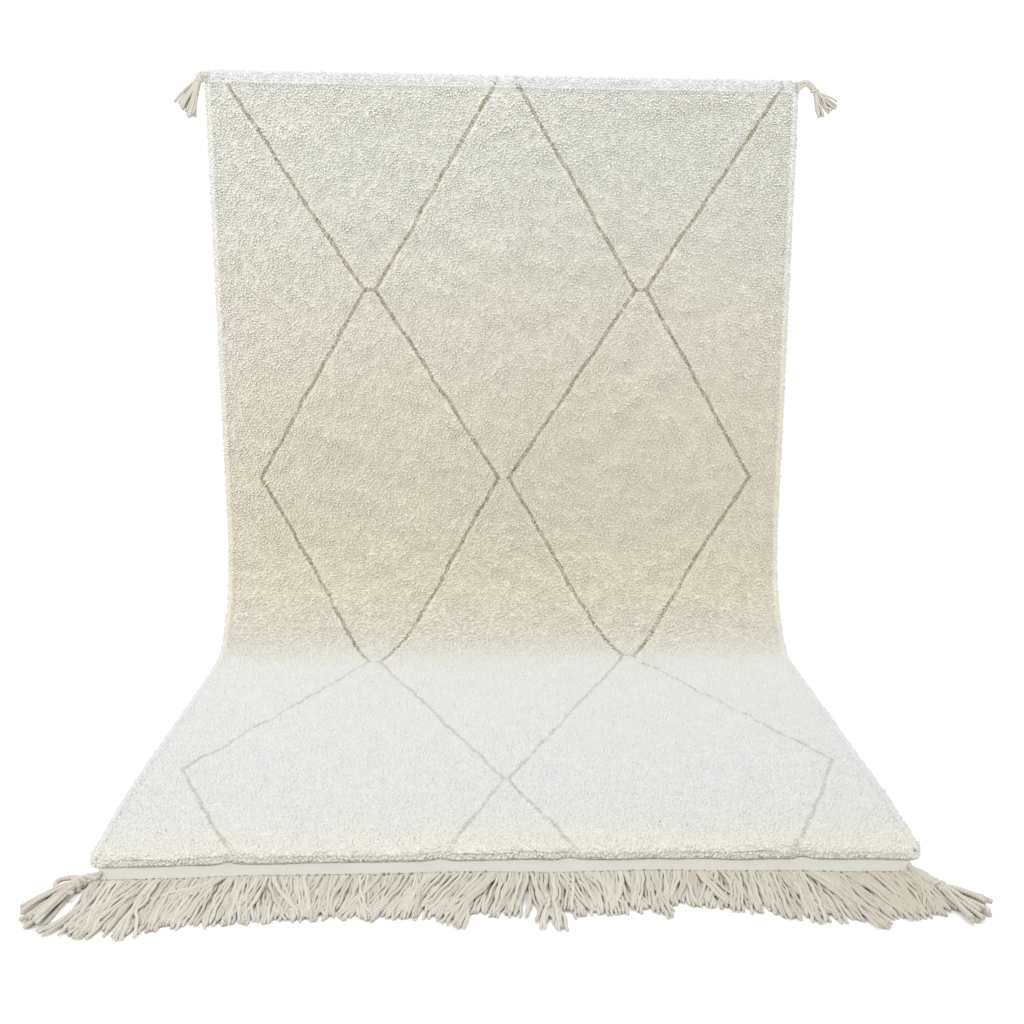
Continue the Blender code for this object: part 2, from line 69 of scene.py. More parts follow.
LUMP_HEIGHT = 0.0060
LUMP_SIZE = 0.080
SMALL_LUMP_SIZE = 0.035
CLOTH_INSET = 0.008
BAND_HALF_WIDTH = 0.715
BAND_LENGTH = 0.062
BAND_UNEVEN = 0.005
BAND_UNEVEN_SIZE = 0.170
BAND_THICKNESS = 0.003
GAP = 0.0003
HALF_WIDTH = RUG_WIDTH / 2
HALF_THICKNESS = RUG_THICKNESS / 2
FLOOR = -HANG_HEIGHT
BAND_BACK = PILE_LENGTH - CLOTH_INSET + GAP

# The lattice of lines, row by row. A line joins each corner of a row of two to the two nearest
# corners of the rows above and below it, and a short bar joins the lines at such a corner.
LATTICE_ROWS = (
    # each corner's place across the rug and down it, from left to right
    ((-0.705, 0.016), (-0.016, 0.016), (0.034, 0.016), (0.707, 0.016)),
    ((-0.349, 0.533), (0.361, 0.533)),
    ((-0.652, 1.030), (-0.014, 1.030), (0.014, 1.030), (0.664, 1.030)),
    ((-0.336, 1.589), (0.326, 1.560)),
    ((-0.665, 2.247), (-0.004, 2.303), (0.004, 2.303), (0.685, 2.213)),
    ((-0.274, 3.064), (0.320, 3.070)),
)
BAR_HALF = 0.014
LINE_STEP = 0.055
LINE_WOBBLE = 0.005
LINE_WOBBLE_SIZE = 0.053
LINE_START = 0.007
LINE_END = PILE_LENGTH - 0.006
LINE_BREAK = {"u": 0.346, "s": 1.583, "radius": 0.016}
FOOT_START = 1.480
FOOT_REACH = 0.140

# The knots of the pile's face: their grid, and half their length, half their width and height.
ROW_PITCH = 0.0066
KNOT_PITCH = 0.0072
PILE_LOCK = (0.0047, 0.0038, 0.0074)
# How far knots stray from their places, as a share of their pitch.
STRAY = 0.26
BED_HEIGHT = 0.0044
# The rows' slow wander: how far, and over what size.
ROW_WAVES = ((0.0090, 0.110), (0.0040, 0.045))
ROW_RISE = 0.0009
KNOT_RISE = 0.0007
FOOT_CALM = 0.60
FOOT_BED = 0.0042
PARTING = {"depth": 0.016, "reach": 0.085, "swing": 0.010, "turns": 5.0}
LINE_CLEAR = 0.0072
LINE_CLEAR_ON_FOOT = 0.0050
SHOULDER_REACH = 0.014
SHOULDER_LEAN = 0.32
PILE_PIECES = 4

# How far in from the rug's outline its rim starts to round off.
RIM_ROUND = {"top": 0.030, "front": 0.024, "left": 0.012, "right": 0.012}
RIM_TURN = {"top": 122.0, "front": 90.0, "left": 122.0, "right": 122.0}
RIM_OVERLAP = 0.005
LIP_WAVE = 0.0040
LIP_WAVE_SIZE = 0.075
LIP_NOTCHES = (
    # where the lip is drawn back, and how far
    (-0.495, 0.010), (-0.120, 0.008), (0.110, 0.008), (0.528, 0.010),
)
NOTCH_REACH = 0.016
LIP_REACH = 0.060
LEAST_HEIGHT = 0.0034
LIP_DEPTH = RUG_THICKNESS - LEAST_HEIGHT
CREASE_INSET = 0.0026
CREASE_WANDER = 0.0030
CREASE_SIZE = 0.080

FLECKS = (
    # small dark hairs in the wool: across and down the rug
    (0.698, 0.360), (-0.154, 0.694), (-0.685, 2.074), (-0.590, 2.540), (-0.575, 2.556),
    (-0.409, 2.525), (0.288, 2.502),
)

SEED = 23


def smooth(x):
    """Rises gently from 0 to 1 while x goes from 0 to 1."""
    x = np.clip(x, 0.0, 1.0)
    return x * x * (3.0 - 2.0 * x)


def unit(vectors):
    return vectors / np.maximum(np.linalg.norm(vectors, axis=-1, keepdims=True), 1e-12)


def noise_at(a, b, size, layer=0.0):
    """Smooth noise, about -1 to 1, at the points (a, b)."""
    a, b = np.broadcast_arrays(a, b)
    places = zip(np.ravel(a) / size, np.ravel(b) / size)
    return np.array([noise.noise(Vector((x, y, layer))) for x, y in places]).reshape(a.shape)


def joined(groups):
    """The first arrays of all the groups as one array, then the second ones, and so on."""
    return [np.concatenate(arrays) for arrays in zip(*groups)]


# ---- the rug's shape in space


def sweep_table():
    """How far the foot's sweep has come forward and gone down, and its turn, along its length."""
    along = np.linspace(0.0, SWEEP_LENGTH, SWEEP_STEPS)
    turn = math.pi / 2 * (along / SWEEP_LENGTH) ** SWEEP_POWER
    middle = (turn[1:] + turn[:-1]) / 2
    step = along[1] - along[0]
    forward = np.concatenate([[0.0], np.cumsum(np.sin(middle) * step)])
    down = np.concatenate([[0.0], np.cumsum(np.cos(middle) * step)])
    return {"along": along, "forward": forward, "down": down, "turn": turn}


SWEEP = sweep_table()
DROP = HANG_HEIGHT - HALF_THICKNESS - SWEEP["down"][-1]


def profile(s):
    """Where the mid-surface is at s: how far forward and down, and its turn from the vertical."""
    s = np.asarray(s, dtype=float)
    in_sweep = np.clip(s - DROP, 0.0, SWEEP_LENGTH)
    forward = np.interp(in_sweep, SWEEP["along"], SWEEP["forward"])
    forward = forward + np.maximum(s - DROP - SWEEP_LENGTH, 0.0)
    down = np.minimum(s, DROP) + np.interp(in_sweep, SWEEP["along"], SWEEP["down"])
    return forward, down, np.interp(in_sweep, SWEEP["along"], SWEEP["turn"])


def sway(u, s):
    """The hanging part's broad, shallow folds, which die out at the top edge and in the sweep."""
    fades = smooth(s / SWAY_START) * smooth((DROP + SWEEP_LENGTH / 2 - s) / (2 * SWAY_START))
    wave = np.sin(2 * math.pi * u / SWAY_WIDTH + SWAY_PHASE)
    return SWAY_DEPTH * fades * (wave + np.sin(SWAY_SLANT[0] * u + SWAY_SLANT[1] * s) / 2)


def front_bow(u):
    """How far the front end is drawn back at u: most in the middle, and more to the right."""
    share = u / HALF_WIDTH
    return FRONT_BOW * (1.0 - share * share) + FRONT_SKEW * share


def lip_wave(u):
    """How far the pile's lip wanders forth, and back at its notches, along the front end."""
    wave = LIP_WAVE * noise_at(u, 0.0, LIP_WAVE_SIZE, 11.0)
    for place_across, depth in LIP_NOTCHES:
        wave = wave - depth * np.exp(-(((u - place_across) / NOTCH_REACH) ** 2))
    return wave


def taper_share(u):
    """By what share the front end is narrower than the rug, on the side of u."""
    return np.where(u < 0, LEFT_TAPER, RIGHT_TAPER) / HALF_WIDTH


def outline(u, s):
    """The points u, s with the rug's corners rounded and its front end drawn in and bowed."""
    middle = PILE_LENGTH / 2
    radius = np.where(s < middle, TOP_CORNER_RADIUS, FRONT_CORNER_RADIUS)
    past_side = np.abs(u) - HALF_WIDTH + radius
    past_end = np.abs(s - middle) - middle + radius
    corner = (past_side > 0) & (past_end > 0)
    length = np.maximum(np.hypot(past_side, past_end), 1e-9)
    kept = np.where(corner, np.maximum(past_side, past_end) / length, 1.0)
    u = u - np.where(corner, np.copysign(past_side * (1.0 - kept), u), 0.0)
    s = s - np.where(corner, np.copysign(past_end * (1.0 - kept), s - middle), 0.0)
    near_front = smooth((s - PILE_LENGTH + TAPER_LENGTH) / TAPER_LENGTH)
    at_lip = smooth(1.0 - (PILE_LENGTH - s) / LIP_REACH)
    wave = np.where(at_lip > 0, lip_wave(u), 0.0) if np.any(at_lip > 0) else 0.0
    s = s - front_bow(u) * near_front + wave * at_lip
    return u * (1.0 - taper_share(u) * near_front), s


def place(u, s, h):
    """The points in space of the rug's points u, s, h."""
    u, s, h = np.broadcast_arrays(np.asarray(u, float), np.asarray(s, float), h)
    u, s = outline(u, s)
    forward, down, turn = profile(s)
    uneven_edge = -EDGE_SLOPE * (u / HALF_WIDTH) * smooth(1.0 - s / EDGE_REACH)
    y = -forward - np.cos(turn) * h - sway(u, s)
    z = -down + np.sin(turn) * h + uneven_edge
    return np.stack([u, y, z], axis=-1)


def directions(s):
    """Across the rug, down along it, and out of its face, at s."""
    turn = profile(s)[2]
    zero, one = np.zeros_like(turn), np.ones_like(turn)
    across = np.stack([one, zero, zero], axis=-1)
    down = np.stack([zero, -np.sin(turn), -np.cos(turn)], axis=-1)
    out = np.stack([zero, -np.cos(turn), np.sin(turn)], axis=-1)
    return across, down, out


def lump(u, s):
    """The pile's slow rise and fall."""
    return LUMP_HEIGHT * (noise_at(u, s, LUMP_SIZE) + noise_at(u, s, SMALL_LUMP_SIZE) / 2)


def on_foot(s):
    """0 on the hanging part and 1 where the rug lies on the floor."""
    return smooth((s - FOOT_START) / FOOT_REACH)


# ---- the lattice of lines


def lattice_runs():
    """The straight runs of the lattice, as pairs of points (u, s) from above to below."""
    runs = []
    for upper, lower in zip(LATTICE_ROWS, LATTICE_ROWS[1:]):
        few, many = sorted((upper, lower), key=len)
        for i, (u, s) in enumerate(few):
            for other, side in zip(many[2 * i : 2 * i + 2], (-1, 1)):
                ends = ((u + side * BAR_HALF, s), other)
                runs.append(sorted(ends, key=lambda point: point[1]))
    bars = [corner for row in LATTICE_ROWS if len(row) == 2 for corner in row]
    runs += [[(u - BAR_HALF, s), (u + BAR_HALF, s)] for u, s in bars if s < LINE_END]
    return runs


def line_route(start, end, step):
    """A line's points from corner to corner, a little unsteady, as far as the pile goes."""
    start, end = np.array(start), np.array(end)
    if end[1] > LINE_END:
        end = start + (end - start) * (LINE_END - start[1]) / (end[1] - start[1])
    share = np.linspace(0.0, 1.0, max(2, round(np.linalg.norm(end - start) / step) + 1))[:, None]
    points = start + (end - start) * share
    wander = noise_at(points[:, 0], points[:, 1], LINE_WOBBLE_SIZE)[:, None]
    return points + beside(start, end) * LINE_WOBBLE * np.sin(math.pi * share) * wander


def beside(start, end):
    """The direction at right angles to a run, in (u, s)."""
    run = end - start
    return np.array((-run[1], run[0])) / np.linalg.norm(run)


def nearest_line(u, s, routes):
    """How far each point is from the nearest line, and the direction to it."""
    points = np.stack([u, s], axis=-1)
    nearest = np.full(len(points), np.inf)
    towards = np.zeros_like(points)
    for route in routes:
        for start, end in zip(route, route[1:]):
            run = end - start
            share = np.clip(((points - start) @ run) / (run @ run), 0.0, 1.0)
            offset = start + share[:, None] * run - points
            distance = np.linalg.norm(offset, axis=1)
            closer = distance < nearest
            nearest[closer] = distance[closer]
            towards[closer] = offset[closer]
    return nearest, unit(towards)


def crease(u):
    """How far down the rug the crease in the front lip runs, at u."""
    return PILE_LENGTH - CREASE_INSET + CREASE_WANDER * noise_at(u, 0.0, CREASE_SIZE, 12.0)


def on_lip(u, s):
    """How far through the rug the front lip's sloping surface lies."""
    over = np.clip(1.0 - (PILE_LENGTH - s) / RIM_ROUND["front"], 0.0, 1.0)
    flat = np.sqrt(1.0 - over**2)
    return HALF_THICKNESS - LIP_DEPTH * (1.0 - flat) + lump(u, s) * flat**2


# ---- meshes from arrays


def mesh_object(name, points, faces, colours, maps=None):
    """A smooth object from arrays: faces is a list of arrays, each of faces with equal corners."""
    mesh = bpy.data.meshes.new(name)
    corners = np.concatenate([np.ravel(block) for block in faces]).astype(np.int32)
    sizes = np.concatenate([np.full(len(block), block.shape[1]) for block in faces])
    starts = np.concatenate([[0], np.cumsum(sizes)[:-1]]).astype(np.int32)
    mesh.vertices.add(len(points))
    mesh.vertices.foreach_set("co", np.ravel(points).astype(np.float32))
    mesh.loops.add(len(corners))
    mesh.loops.foreach_set("vertex_index", corners)
    mesh.polygons.add(len(sizes))
    mesh.polygons.foreach_set("loop_start", starts)
    mesh.update(calc_edges=True)
    layer = mesh.attributes.new("wool", "FLOAT_COLOR", "POINT")
    filled = np.concatenate([colours, np.ones((len(points), 1))], axis=1)
    layer.data.foreach_set("color", np.ravel(filled).astype(np.float32))
    for map_name, places in (maps or {}).items():
        layer = mesh.uv_layers.new(name=map_name)
        layer.uv.foreach_set("vector", np.ravel(places).astype(np.float32))
    mesh.shade_smooth()
    mesh.validate()
    made = bpy.data.objects.new(name, mesh)
    bpy.context.scene.collection.objects.link(made)
    return made


def quads(index):
    """The faces of a grid of points."""
    grid = np.stack([index[:-1, :-1], index[:-1, 1:], index[1:, 1:], index[1:, :-1]], axis=-1)
    return grid.reshape(-1, 4)


# A lock of pile, in shares of its half length, half width and height: a foot of three points,
# and a crown of three that is turned on it, droops down the rug and is smaller.
LOCK_FOOT = np.radians((90.0, 210.0, 330.0))
LOCK_CROWN = np.radians((150.0, 270.0, 30.0))
LOCK_CROWN_SIZE = 0.60
LOCK_POINTS = np.concatenate([
    np.stack([np.cos(LOCK_FOOT), np.sin(LOCK_FOOT), np.full(3, -0.5)], axis=-1),
    np.stack([np.cos(LOCK_CROWN), np.sin(LOCK_CROWN), np.full(3, 0.9)], axis=-1)
    * (LOCK_CROWN_SIZE, LOCK_CROWN_SIZE, 1.0),
])
# The rug's across, down and out are a left-handed set, so in them the corners run clockwise.
LOCK_FACES = np.array([
    (5, 4, 3), (3, 1, 0), (3, 4, 1), (4, 2, 1), (4, 5, 2), (5, 0, 2), (5, 3, 0),
])
LOCK_JITTER = 0.10
LOCK_DROOP = 0.30


def face_frame(out, down, angle):
    """Directions across and down on a surface that faces out, turned by an angle on it."""
    down = unit(down - out * (down * out).sum(-1, keepdims=True))
    across = np.cross(out, down)
    c, s = np.cos(angle)[:, None], np.sin(angle)[:, None]
    return across * c + down * s, down * c - across * s


def knots_on(centre, out, down, angle, size, rng):
    """The points of one lock at each centre, facing out. size is half length, width and height."""
    across, down = face_frame(out, down, angle)
    spin = rng.uniform(0.0, 2 * math.pi, len(centre))
    c, s = np.cos(spin)[:, None], np.sin(spin)[:, None]
    x, y, z = LOCK_POINTS.T
    shape = np.stack([x * c - y * s, x * s + y * c, np.broadcast_to(z, (len(centre), len(z)))], -1)
    shape = shape + rng.normal(0.0, LOCK_JITTER, shape.shape)
    shape[..., 1] += LOCK_DROOP * np.maximum(shape[..., 2], 0.0)
    shape = shape * size[:, None, :]
    points = centre[:, None] + shape[..., 0:1] * across[:, None]
    return points + shape[..., 1:2] * down[:, None] + shape[..., 2:3] * out[:, None]


def sizes(rng, count, lock, spread):
    """Half length, half width and height of each knot, each uneven by its own share."""
    return rng.uniform(1.0 - spread, 1.0 + spread, (count, 3)) * lock


def knot_colours(s, brown, rng):
    """What the wool's material reads: how brown a knot is, its own shade, how far down it is."""
    shade = np.clip(0.5 + 0.2 * rng.standard_normal(len(s)), 0.0, 1.0)
    return np.stack([np.clip(brown, 0.0, 1.0), shade, s / PILE_LENGTH], axis=-1)


def plain_wool(s):
    """What the material reads on a smooth sheet of wool: cream, and of a middle shade."""
    return np.stack([0.0 * s, 0.5 + 0.0 * s, s / PILE_LENGTH], axis=-1)


def lay_knots(rng, s, centre, out, down, size, angle, brown):
    """A lock at each centre: how far down the rug they stand, their points and their colours."""
    points = knots_on(centre, out, down, angle, size, rng)
    return s, points, knot_colours(s, brown, rng)


def knot_piece(name, s, points, colours):
    """A piece of many knots, with a map for its baked picture laid out across and down the rug."""
    count, corners = points.shape[:2]
    points = points.reshape(-1, 3)
    points[:, 2] = np.maximum(points[:, 2], FLOOR)
    flat_s = np.repeat(s, corners)
    down = directions(flat_s)[1]
    along = flat_s + ((points - place(0.0, flat_s, 0.0)) * down).sum(axis=1)
    low, high = along.min(), along.max()
    wide = np.abs(points[:, 0]).max()
    flat_map = np.stack([0.5 + points[:, 0] / (2.02 * wide), (high - along) / (high - low)], -1)
    faces = (LOCK_FACES + corners * np.arange(count)[:, None, None]).reshape(-1, 3)
    maps = {"OFBake": 0.005 + 0.99 * flat_map[faces.ravel()]}
    return mesh_object(name, points, [faces], np.repeat(colours, corners, axis=0), maps)


# ---- the pile


def row_wave(u, s):
    """How far the rows of knots wander along the rug, with a parting along its middle."""
    waves = [depth * noise_at(u, s, size, i + 1) for i, (depth, size) in enumerate(ROW_WAVES)]
    aside = u - PARTING["swing"] * np.sin(PARTING["turns"] * s)
    return sum(waves) + PARTING["depth"] * np.exp(-np.abs(aside) / PARTING["reach"])


def pile_grid(rng):
    """Where the knots of the pile's face stand: rows across the rug that wander a little."""
    # The outermost knots stand in the rims, so that no seam shows between the two.
    top, front, side = (RIM_ROUND[name] - RIM_OVERLAP for name in ("top", "front", "left"))
    rows = round((PILE_LENGTH - top - front) / ROW_PITCH)
    columns = round((RUG_WIDTH - 2 * side) / KNOT_PITCH)
    row, column = np.meshgrid(np.arange(rows), np.arange(columns), indexing="ij")
    row, column = row.ravel(), column.ravel()
    step_u = (RUG_WIDTH - 2 * side) / columns
    step_s = (PILE_LENGTH - top - front) / rows
    u = -HALF_WIDTH + side + step_u * (column + 0.25 + 0.5 * (row % 2))
    u = u + rng.normal(0.0, STRAY * KNOT_PITCH, len(u))
    s = top + step_s * (row + 0.5)
    inside = smooth(np.minimum(s - top, PILE_LENGTH - front - s) / (4 * ROW_PITCH))
    nudge = 0.5 * ROW_PITCH / HALF_WIDTH
    slope = (row_wave(u + nudge, s) - row_wave(u - nudge, s)) / (2 * nudge) * inside
    rise = ROW_RISE * noise_at(u, row * 1.7, 0.060, 8.0)
    s = s + row_wave(u, s) * inside + rng.normal(0.0, STRAY * ROW_PITCH, len(s))
    limit = HALF_WIDTH - RIM_OVERLAP
    return np.clip(u, -limit, limit), s, slope, rise


def make_pile(routes):
    """The cream knots of the pile's face, in pieces from the top to the front."""
    rng = np.random.default_rng(SEED)
    u, s, slope, rise = pile_grid(rng)
    distance, towards = nearest_line(u, s, routes)
    clear = LINE_CLEAR + (LINE_CLEAR_ON_FOOT - LINE_CLEAR) * on_foot(s)
    kept = distance > clear
    u, s, slope, rise, distance, towards = (
        values[kept] for values in (u, s, slope, rise, distance, towards)
    )
    across, down, out = directions(s)
    lean = SHOULDER_LEAN * smooth((SHOULDER_REACH - distance) / (SHOULDER_REACH - LINE_CLEAR))
    out = unit(out + (across * towards[:, :1] + down * towards[:, 1:]) * lean[:, None])
    angle = np.arctan(slope) + rng.normal(0.0, 0.25, len(u))
    calm = 1.0 - FOOT_CALM * on_foot(s)
    height = BED_HEIGHT + lump(u, s) + (rise + rng.normal(0.0, KNOT_RISE, len(u))) * calm
    size = sizes(rng, len(u), PILE_LOCK, 0.20)
    size = size * np.stack([2.0 - calm, 2.0 - calm, np.ones(len(u))], axis=-1) ** 0.5
    height = height + 0.9 * size[:, 2] * (1.0 - calm) / 2
    size[:, 2] *= (1.0 + calm) / 2
    colours = knot_colours(s, np.zeros(len(u)), rng)
    colours[:, 1] = 0.5 + (colours[:, 1] - 0.5) * calm
    points = knots_on(place(u, s, height), out, down, angle, size, rng)
    pieces = []
    bounds = np.linspace(0.0, PILE_LENGTH, PILE_PIECES + 1)
    for i, (low, high) in enumerate(zip(bounds, bounds[1:])):
        here = (s >= low) & (s < high)
        name = f"pile_knots_{i + 1}"
        pieces.append(knot_piece(name, s[here], points[here], colours[here]))
    return pieces


FLECK_LOCK = (0.0018, 0.0014, 0.0040)
FLECK_LIFT = 0.0042
FLECK_BROWN = 0.95
LINE_LOCK = (0.0032, 0.0026, 0.0058)
LINE_PITCH = 0.0044
LINE_OFFSETS = (-0.0025, 0.0025)
LINE_NARROWER_ON_FOOT = 0.4
LINE_STRAY = 0.0008
LINE_TURN = 0.9
LINE_SUNK = 0.0012
LINE_SUNK_AT_TOP = 0.005
LINE_BROWN_SHARE = 0.84
LINE_CLOUDS = 0.26
LINE_SPREAD = 0.18
LINE_CALM = 0.6
LINE_PALER_ON_FOOT = 0.58


def make_lines(runs):
    """The shorter brown knots of the lines, sunk between the cream ones."""
    rng = np.random.default_rng(SEED + 1)
    placed = []
    for start, end in runs:
        route = line_route(start, end, LINE_PITCH)
        sideways = beside(route[0], route[-1])
        for k, offset in enumerate(LINE_OFFSETS):
            narrowed = offset * (1.0 - LINE_NARROWER_ON_FOOT * on_foot(route[:, 1:]))
            points = route + sideways * narrowed + rng.normal(0.0, LINE_STRAY, route.shape)
            along = (route[-1] - route[0]) / (len(route) - 1)
            placed.append(points + along * 0.5 * (k % 2))
    u, s = np.concatenate(placed).T
    unbroken = np.hypot(u - LINE_BREAK["u"], s - LINE_BREAK["s"]) > LINE_BREAK["radius"]
    inside = (np.abs(u) < HALF_WIDTH - 0.008) & (s > LINE_START) & (s < PILE_LENGTH - 0.005)
    u, s = u[unbroken & inside], s[unbroken & inside]
    uneven = LINE_CLOUDS * noise_at(u, s, 0.030, 9.0) + rng.normal(0.0, LINE_SPREAD, len(u))
    brown = LINE_BROWN_SHARE + uneven * (1.0 - LINE_CALM * on_foot(s))
    brown = brown - (LINE_PALER_ON_FOOT + 0.12 * noise_at(u, s, 0.050, 10.0)) * on_foot(s)
    brown = brown * (0.35 + 0.65 * smooth((s - LINE_START) / (2 * RIM_ROUND["top"])))
    height = BED_HEIGHT + lump(u, s) - LINE_SUNK
    height = height - LINE_SUNK_AT_TOP * smooth(1.0 - s / RIM_ROUND["top"])
    height = height + 0.6 * FOOT_BED * on_foot(s)
    lines = lay_small_knots(rng, u, s, height, LINE_LOCK, 0.22, brown)
    u, s = np.array(FLECKS).T
    height = BED_HEIGHT + FLECK_LIFT + lump(u, s)
    flecks = lay_small_knots(rng, u, s, height, FLECK_LOCK, 0.20, np.full(len(u), FLECK_BROWN))
    return knot_piece("line_knots", *joined([lines, flecks]))


def lay_small_knots(rng, u, s, height, lock, spread, brown):
    """Small knots on the face, turned either way: those of the lines, and the dark hairs."""
    down, out = directions(s)[1:]
    size = sizes(rng, len(u), lock, spread)
    angle = rng.uniform(-LINE_TURN, LINE_TURN, len(u))
    return lay_knots(rng, s, place(u, s, height), out, down, size, angle, brown)


THREAD_LOCK = (0.0030, 0.0013, 0.0030)
THREAD_PITCH = 0.0040
THREAD_LIMIT = BAND_HALF_WIDTH - 0.004
CREASE_STRETCHES = ((-0.700, -0.500), (-0.410, -0.300), (-0.130, 0.130), (0.300, 0.520))
CREASE_AHEAD = 0.0006
CREASE_THREAD_SIZE = 0.72
# the crease thread's brown, partly painted shade of the crease
CREASE_BROWN_AND_SHADE = 0.62
CONTACT_AHEAD = 0.0046
CONTACT_HEIGHT = 0.0014
# the contact thread's brown, partly painted contact shadow under the lip
CONTACT_BROWN_AND_SHADOW = 0.42
SPECK_PITCH = 0.013
# the specks' brown, partly painted shadow between the fringe's bundles
SPECK_BROWN_AND_SHADOW = 0.85
SPECK_AHEAD = 0.0020
SPECK_HEIGHT = 0.0076
SPECK_SIZE = 1.15


def crease_brown_and_shade(u):
    """How brown the crease's thread is at u, a brown that is partly painted shade of the crease: it
    shows along some stretches only.
    """
    shown = np.zeros(len(u))
    for left, right in CREASE_STRETCHES:
        shown = np.maximum(shown, smooth((u - left) / 0.04) * smooth((right - u) / 0.04))
    return CREASE_BROWN_AND_SHADE * shown


def make_front_threads_and_shadow():
    """Thin brown threads at the front, in the lip's crease, at the lip's foot and at the fringe,
    whose brown is partly painted shadow of the crease, of the lip's contact with the band and of the
    gaps between the fringe's bundles.
    """
    rng = np.random.default_rng(SEED + 7)
    u = np.linspace(-THREAD_LIMIT, THREAD_LIMIT, round(2 * THREAD_LIMIT / THREAD_PITCH))
    u = u + rng.normal(0.0, 0.15 * THREAD_PITCH, len(u))
    sunk = crease(u)
    down, out = directions(sunk)[1:]
    in_crease = place(u, sunk, on_lip(u, sunk)) - (0.0, CREASE_AHEAD, 0.0)
    foot_y = -(profile(PILE_LENGTH)[0] - front_bow(u) + lip_wave(u)) - CONTACT_AHEAD
    at_foot = np.stack([u, foot_y, np.full(len(u), FLOOR + BAND_THICKNESS + CONTACT_HEIGHT)], -1)
    specks = np.arange(-THREAD_LIMIT, THREAD_LIMIT, SPECK_PITCH)
    specks = specks + rng.normal(0.0, 0.22 * SPECK_PITCH, len(specks))
    front = -band_front(specks) - SPECK_AHEAD + rng.normal(0.0, 0.0008, len(specks))
    at_fringe = np.stack([specks, front, np.full(len(specks), FLOOR + SPECK_HEIGHT)], axis=-1)
    uneven = 0.35 * noise_at(u, 0.0, 0.060, 13.0) + rng.normal(0.0, 0.14, len(u))
    rows = (
        # where they lie, how brown they are with their painted shadow, how far they lean forward and
        # how big they are
        (in_crease, crease_brown_and_shade(u) * (1.0 + uneven), 0.6, CREASE_THREAD_SIZE),
        (at_foot, CONTACT_BROWN_AND_SHADOW + uneven, 1.1, 1.0),
        (at_fringe, SPECK_BROWN_AND_SHADOW + rng.normal(0.0, 0.2, len(specks)), 0.3, SPECK_SIZE),
    )
    groups = []
    for centre, brown, lean, scale in rows:
        count = len(centre)
        facing = unit(out[:1] + down[:1] * lean) * np.ones((count, 1))
        hanging = down[:1] * np.ones((count, 1))
        size = sizes(rng, count, THREAD_LOCK, 0.25) * scale
        turn = rng.normal(0.0, 0.2, count)
        at_end = np.full(count, PILE_LENGTH)
        groups.append(lay_knots(rng, at_end, centre, facing, hanging, size, turn, brown))
    return knot_piece("front_threads_and_shadow", *joined(groups))


RIM_ROW_PITCH = 0.0050
RIM_STEP = 0.0066
RIM_LOCK = (0.0050, 0.0044, 0.0044)
RIM_SUNK = 0.0034
RIM_LINE_HALF = 0.0036
RIM_BROWN = {"at_edge": 0.28, "more_inwards": 0.55}
RIM_CORE_SUNK = 0.0018
RIM_CORE_STEP = 0.012
RIM_CORE_TUCK = 0.007
RIM_CORE_INSET = 0.006
RIM_CORE_UNDER_BED = 0.001
RIM_JITTER = 0.0011
LIP_UPTURN = 0.75


def rim_depth(side):
    """How far a side's rounding goes down: the lip's reaches the floor, the others half way."""
    return LIP_DEPTH if side == "front" else HALF_THICKNESS


def rim_rows(side):
    """A side's rows of knots, as turns from its face round its edge."""
    full_turn = math.radians(RIM_TURN[side])
    arc = (RIM_ROUND[side] + rim_depth(side)) / 2 * full_turn
    return np.linspace(0.06, full_turn, round(arc / RIM_ROW_PITCH) + 1)


def side_length(side):
    return PILE_LENGTH if side in ("left", "right") else RUG_WIDTH


def rim_side(side, angle, along, jitter):
    """Points (u, s) along one side of the rug, turned by the angle from its face outwards."""
    inset = RIM_ROUND[side] * (1.0 - math.sin(angle)) + jitter
    if side in ("left", "right"):
        u = (HALF_WIDTH - inset) * (1.0 if side == "right" else -1.0)
        s = np.clip(along, 0.004, PILE_LENGTH - 0.004)
    else:
        u = np.clip(along - HALF_WIDTH, -HALF_WIDTH + 0.003, HALF_WIDTH - 0.003)
        s = inset if side == "top" else PILE_LENGTH - inset
    return u, s


def rim_surface(side, angle, u, s):
    """How far through the rug its rounded rim lies at the points, and which way it faces there."""
    across, down, out = directions(s)
    away = {"left": -across, "right": across, "top": -down, "front": down}[side]
    depth, flat = rim_depth(side), math.cos(angle)
    tilt = math.atan2(depth * math.sin(angle), RIM_ROUND[side] * flat)
    normal = out * math.cos(tilt) + away * math.sin(tilt)
    # The locks of the lip grow out of the face, so that they still point up a little.
    normal = unit(normal + out * (LIP_UPTURN * math.sin(angle) if side == "front" else 0.0))
    surface = HALF_THICKNESS - depth * (1.0 - flat) + lump(u, s) * max(0.0, flat) ** 2
    return surface, normal


def rim_brown(side, u, s, routes):
    """The rim's knots are brown where a line reaches the top edge, and fainter nearer to it."""
    if side != "top":
        return np.zeros(len(u))
    from_line = nearest_line(u, np.maximum(s, LATTICE_ROWS[0][0][1]), routes)[0]
    brown = RIM_BROWN["at_edge"] + RIM_BROWN["more_inwards"] * smooth(s / RIM_ROUND["top"])
    return brown * (from_line < RIM_LINE_HALF)


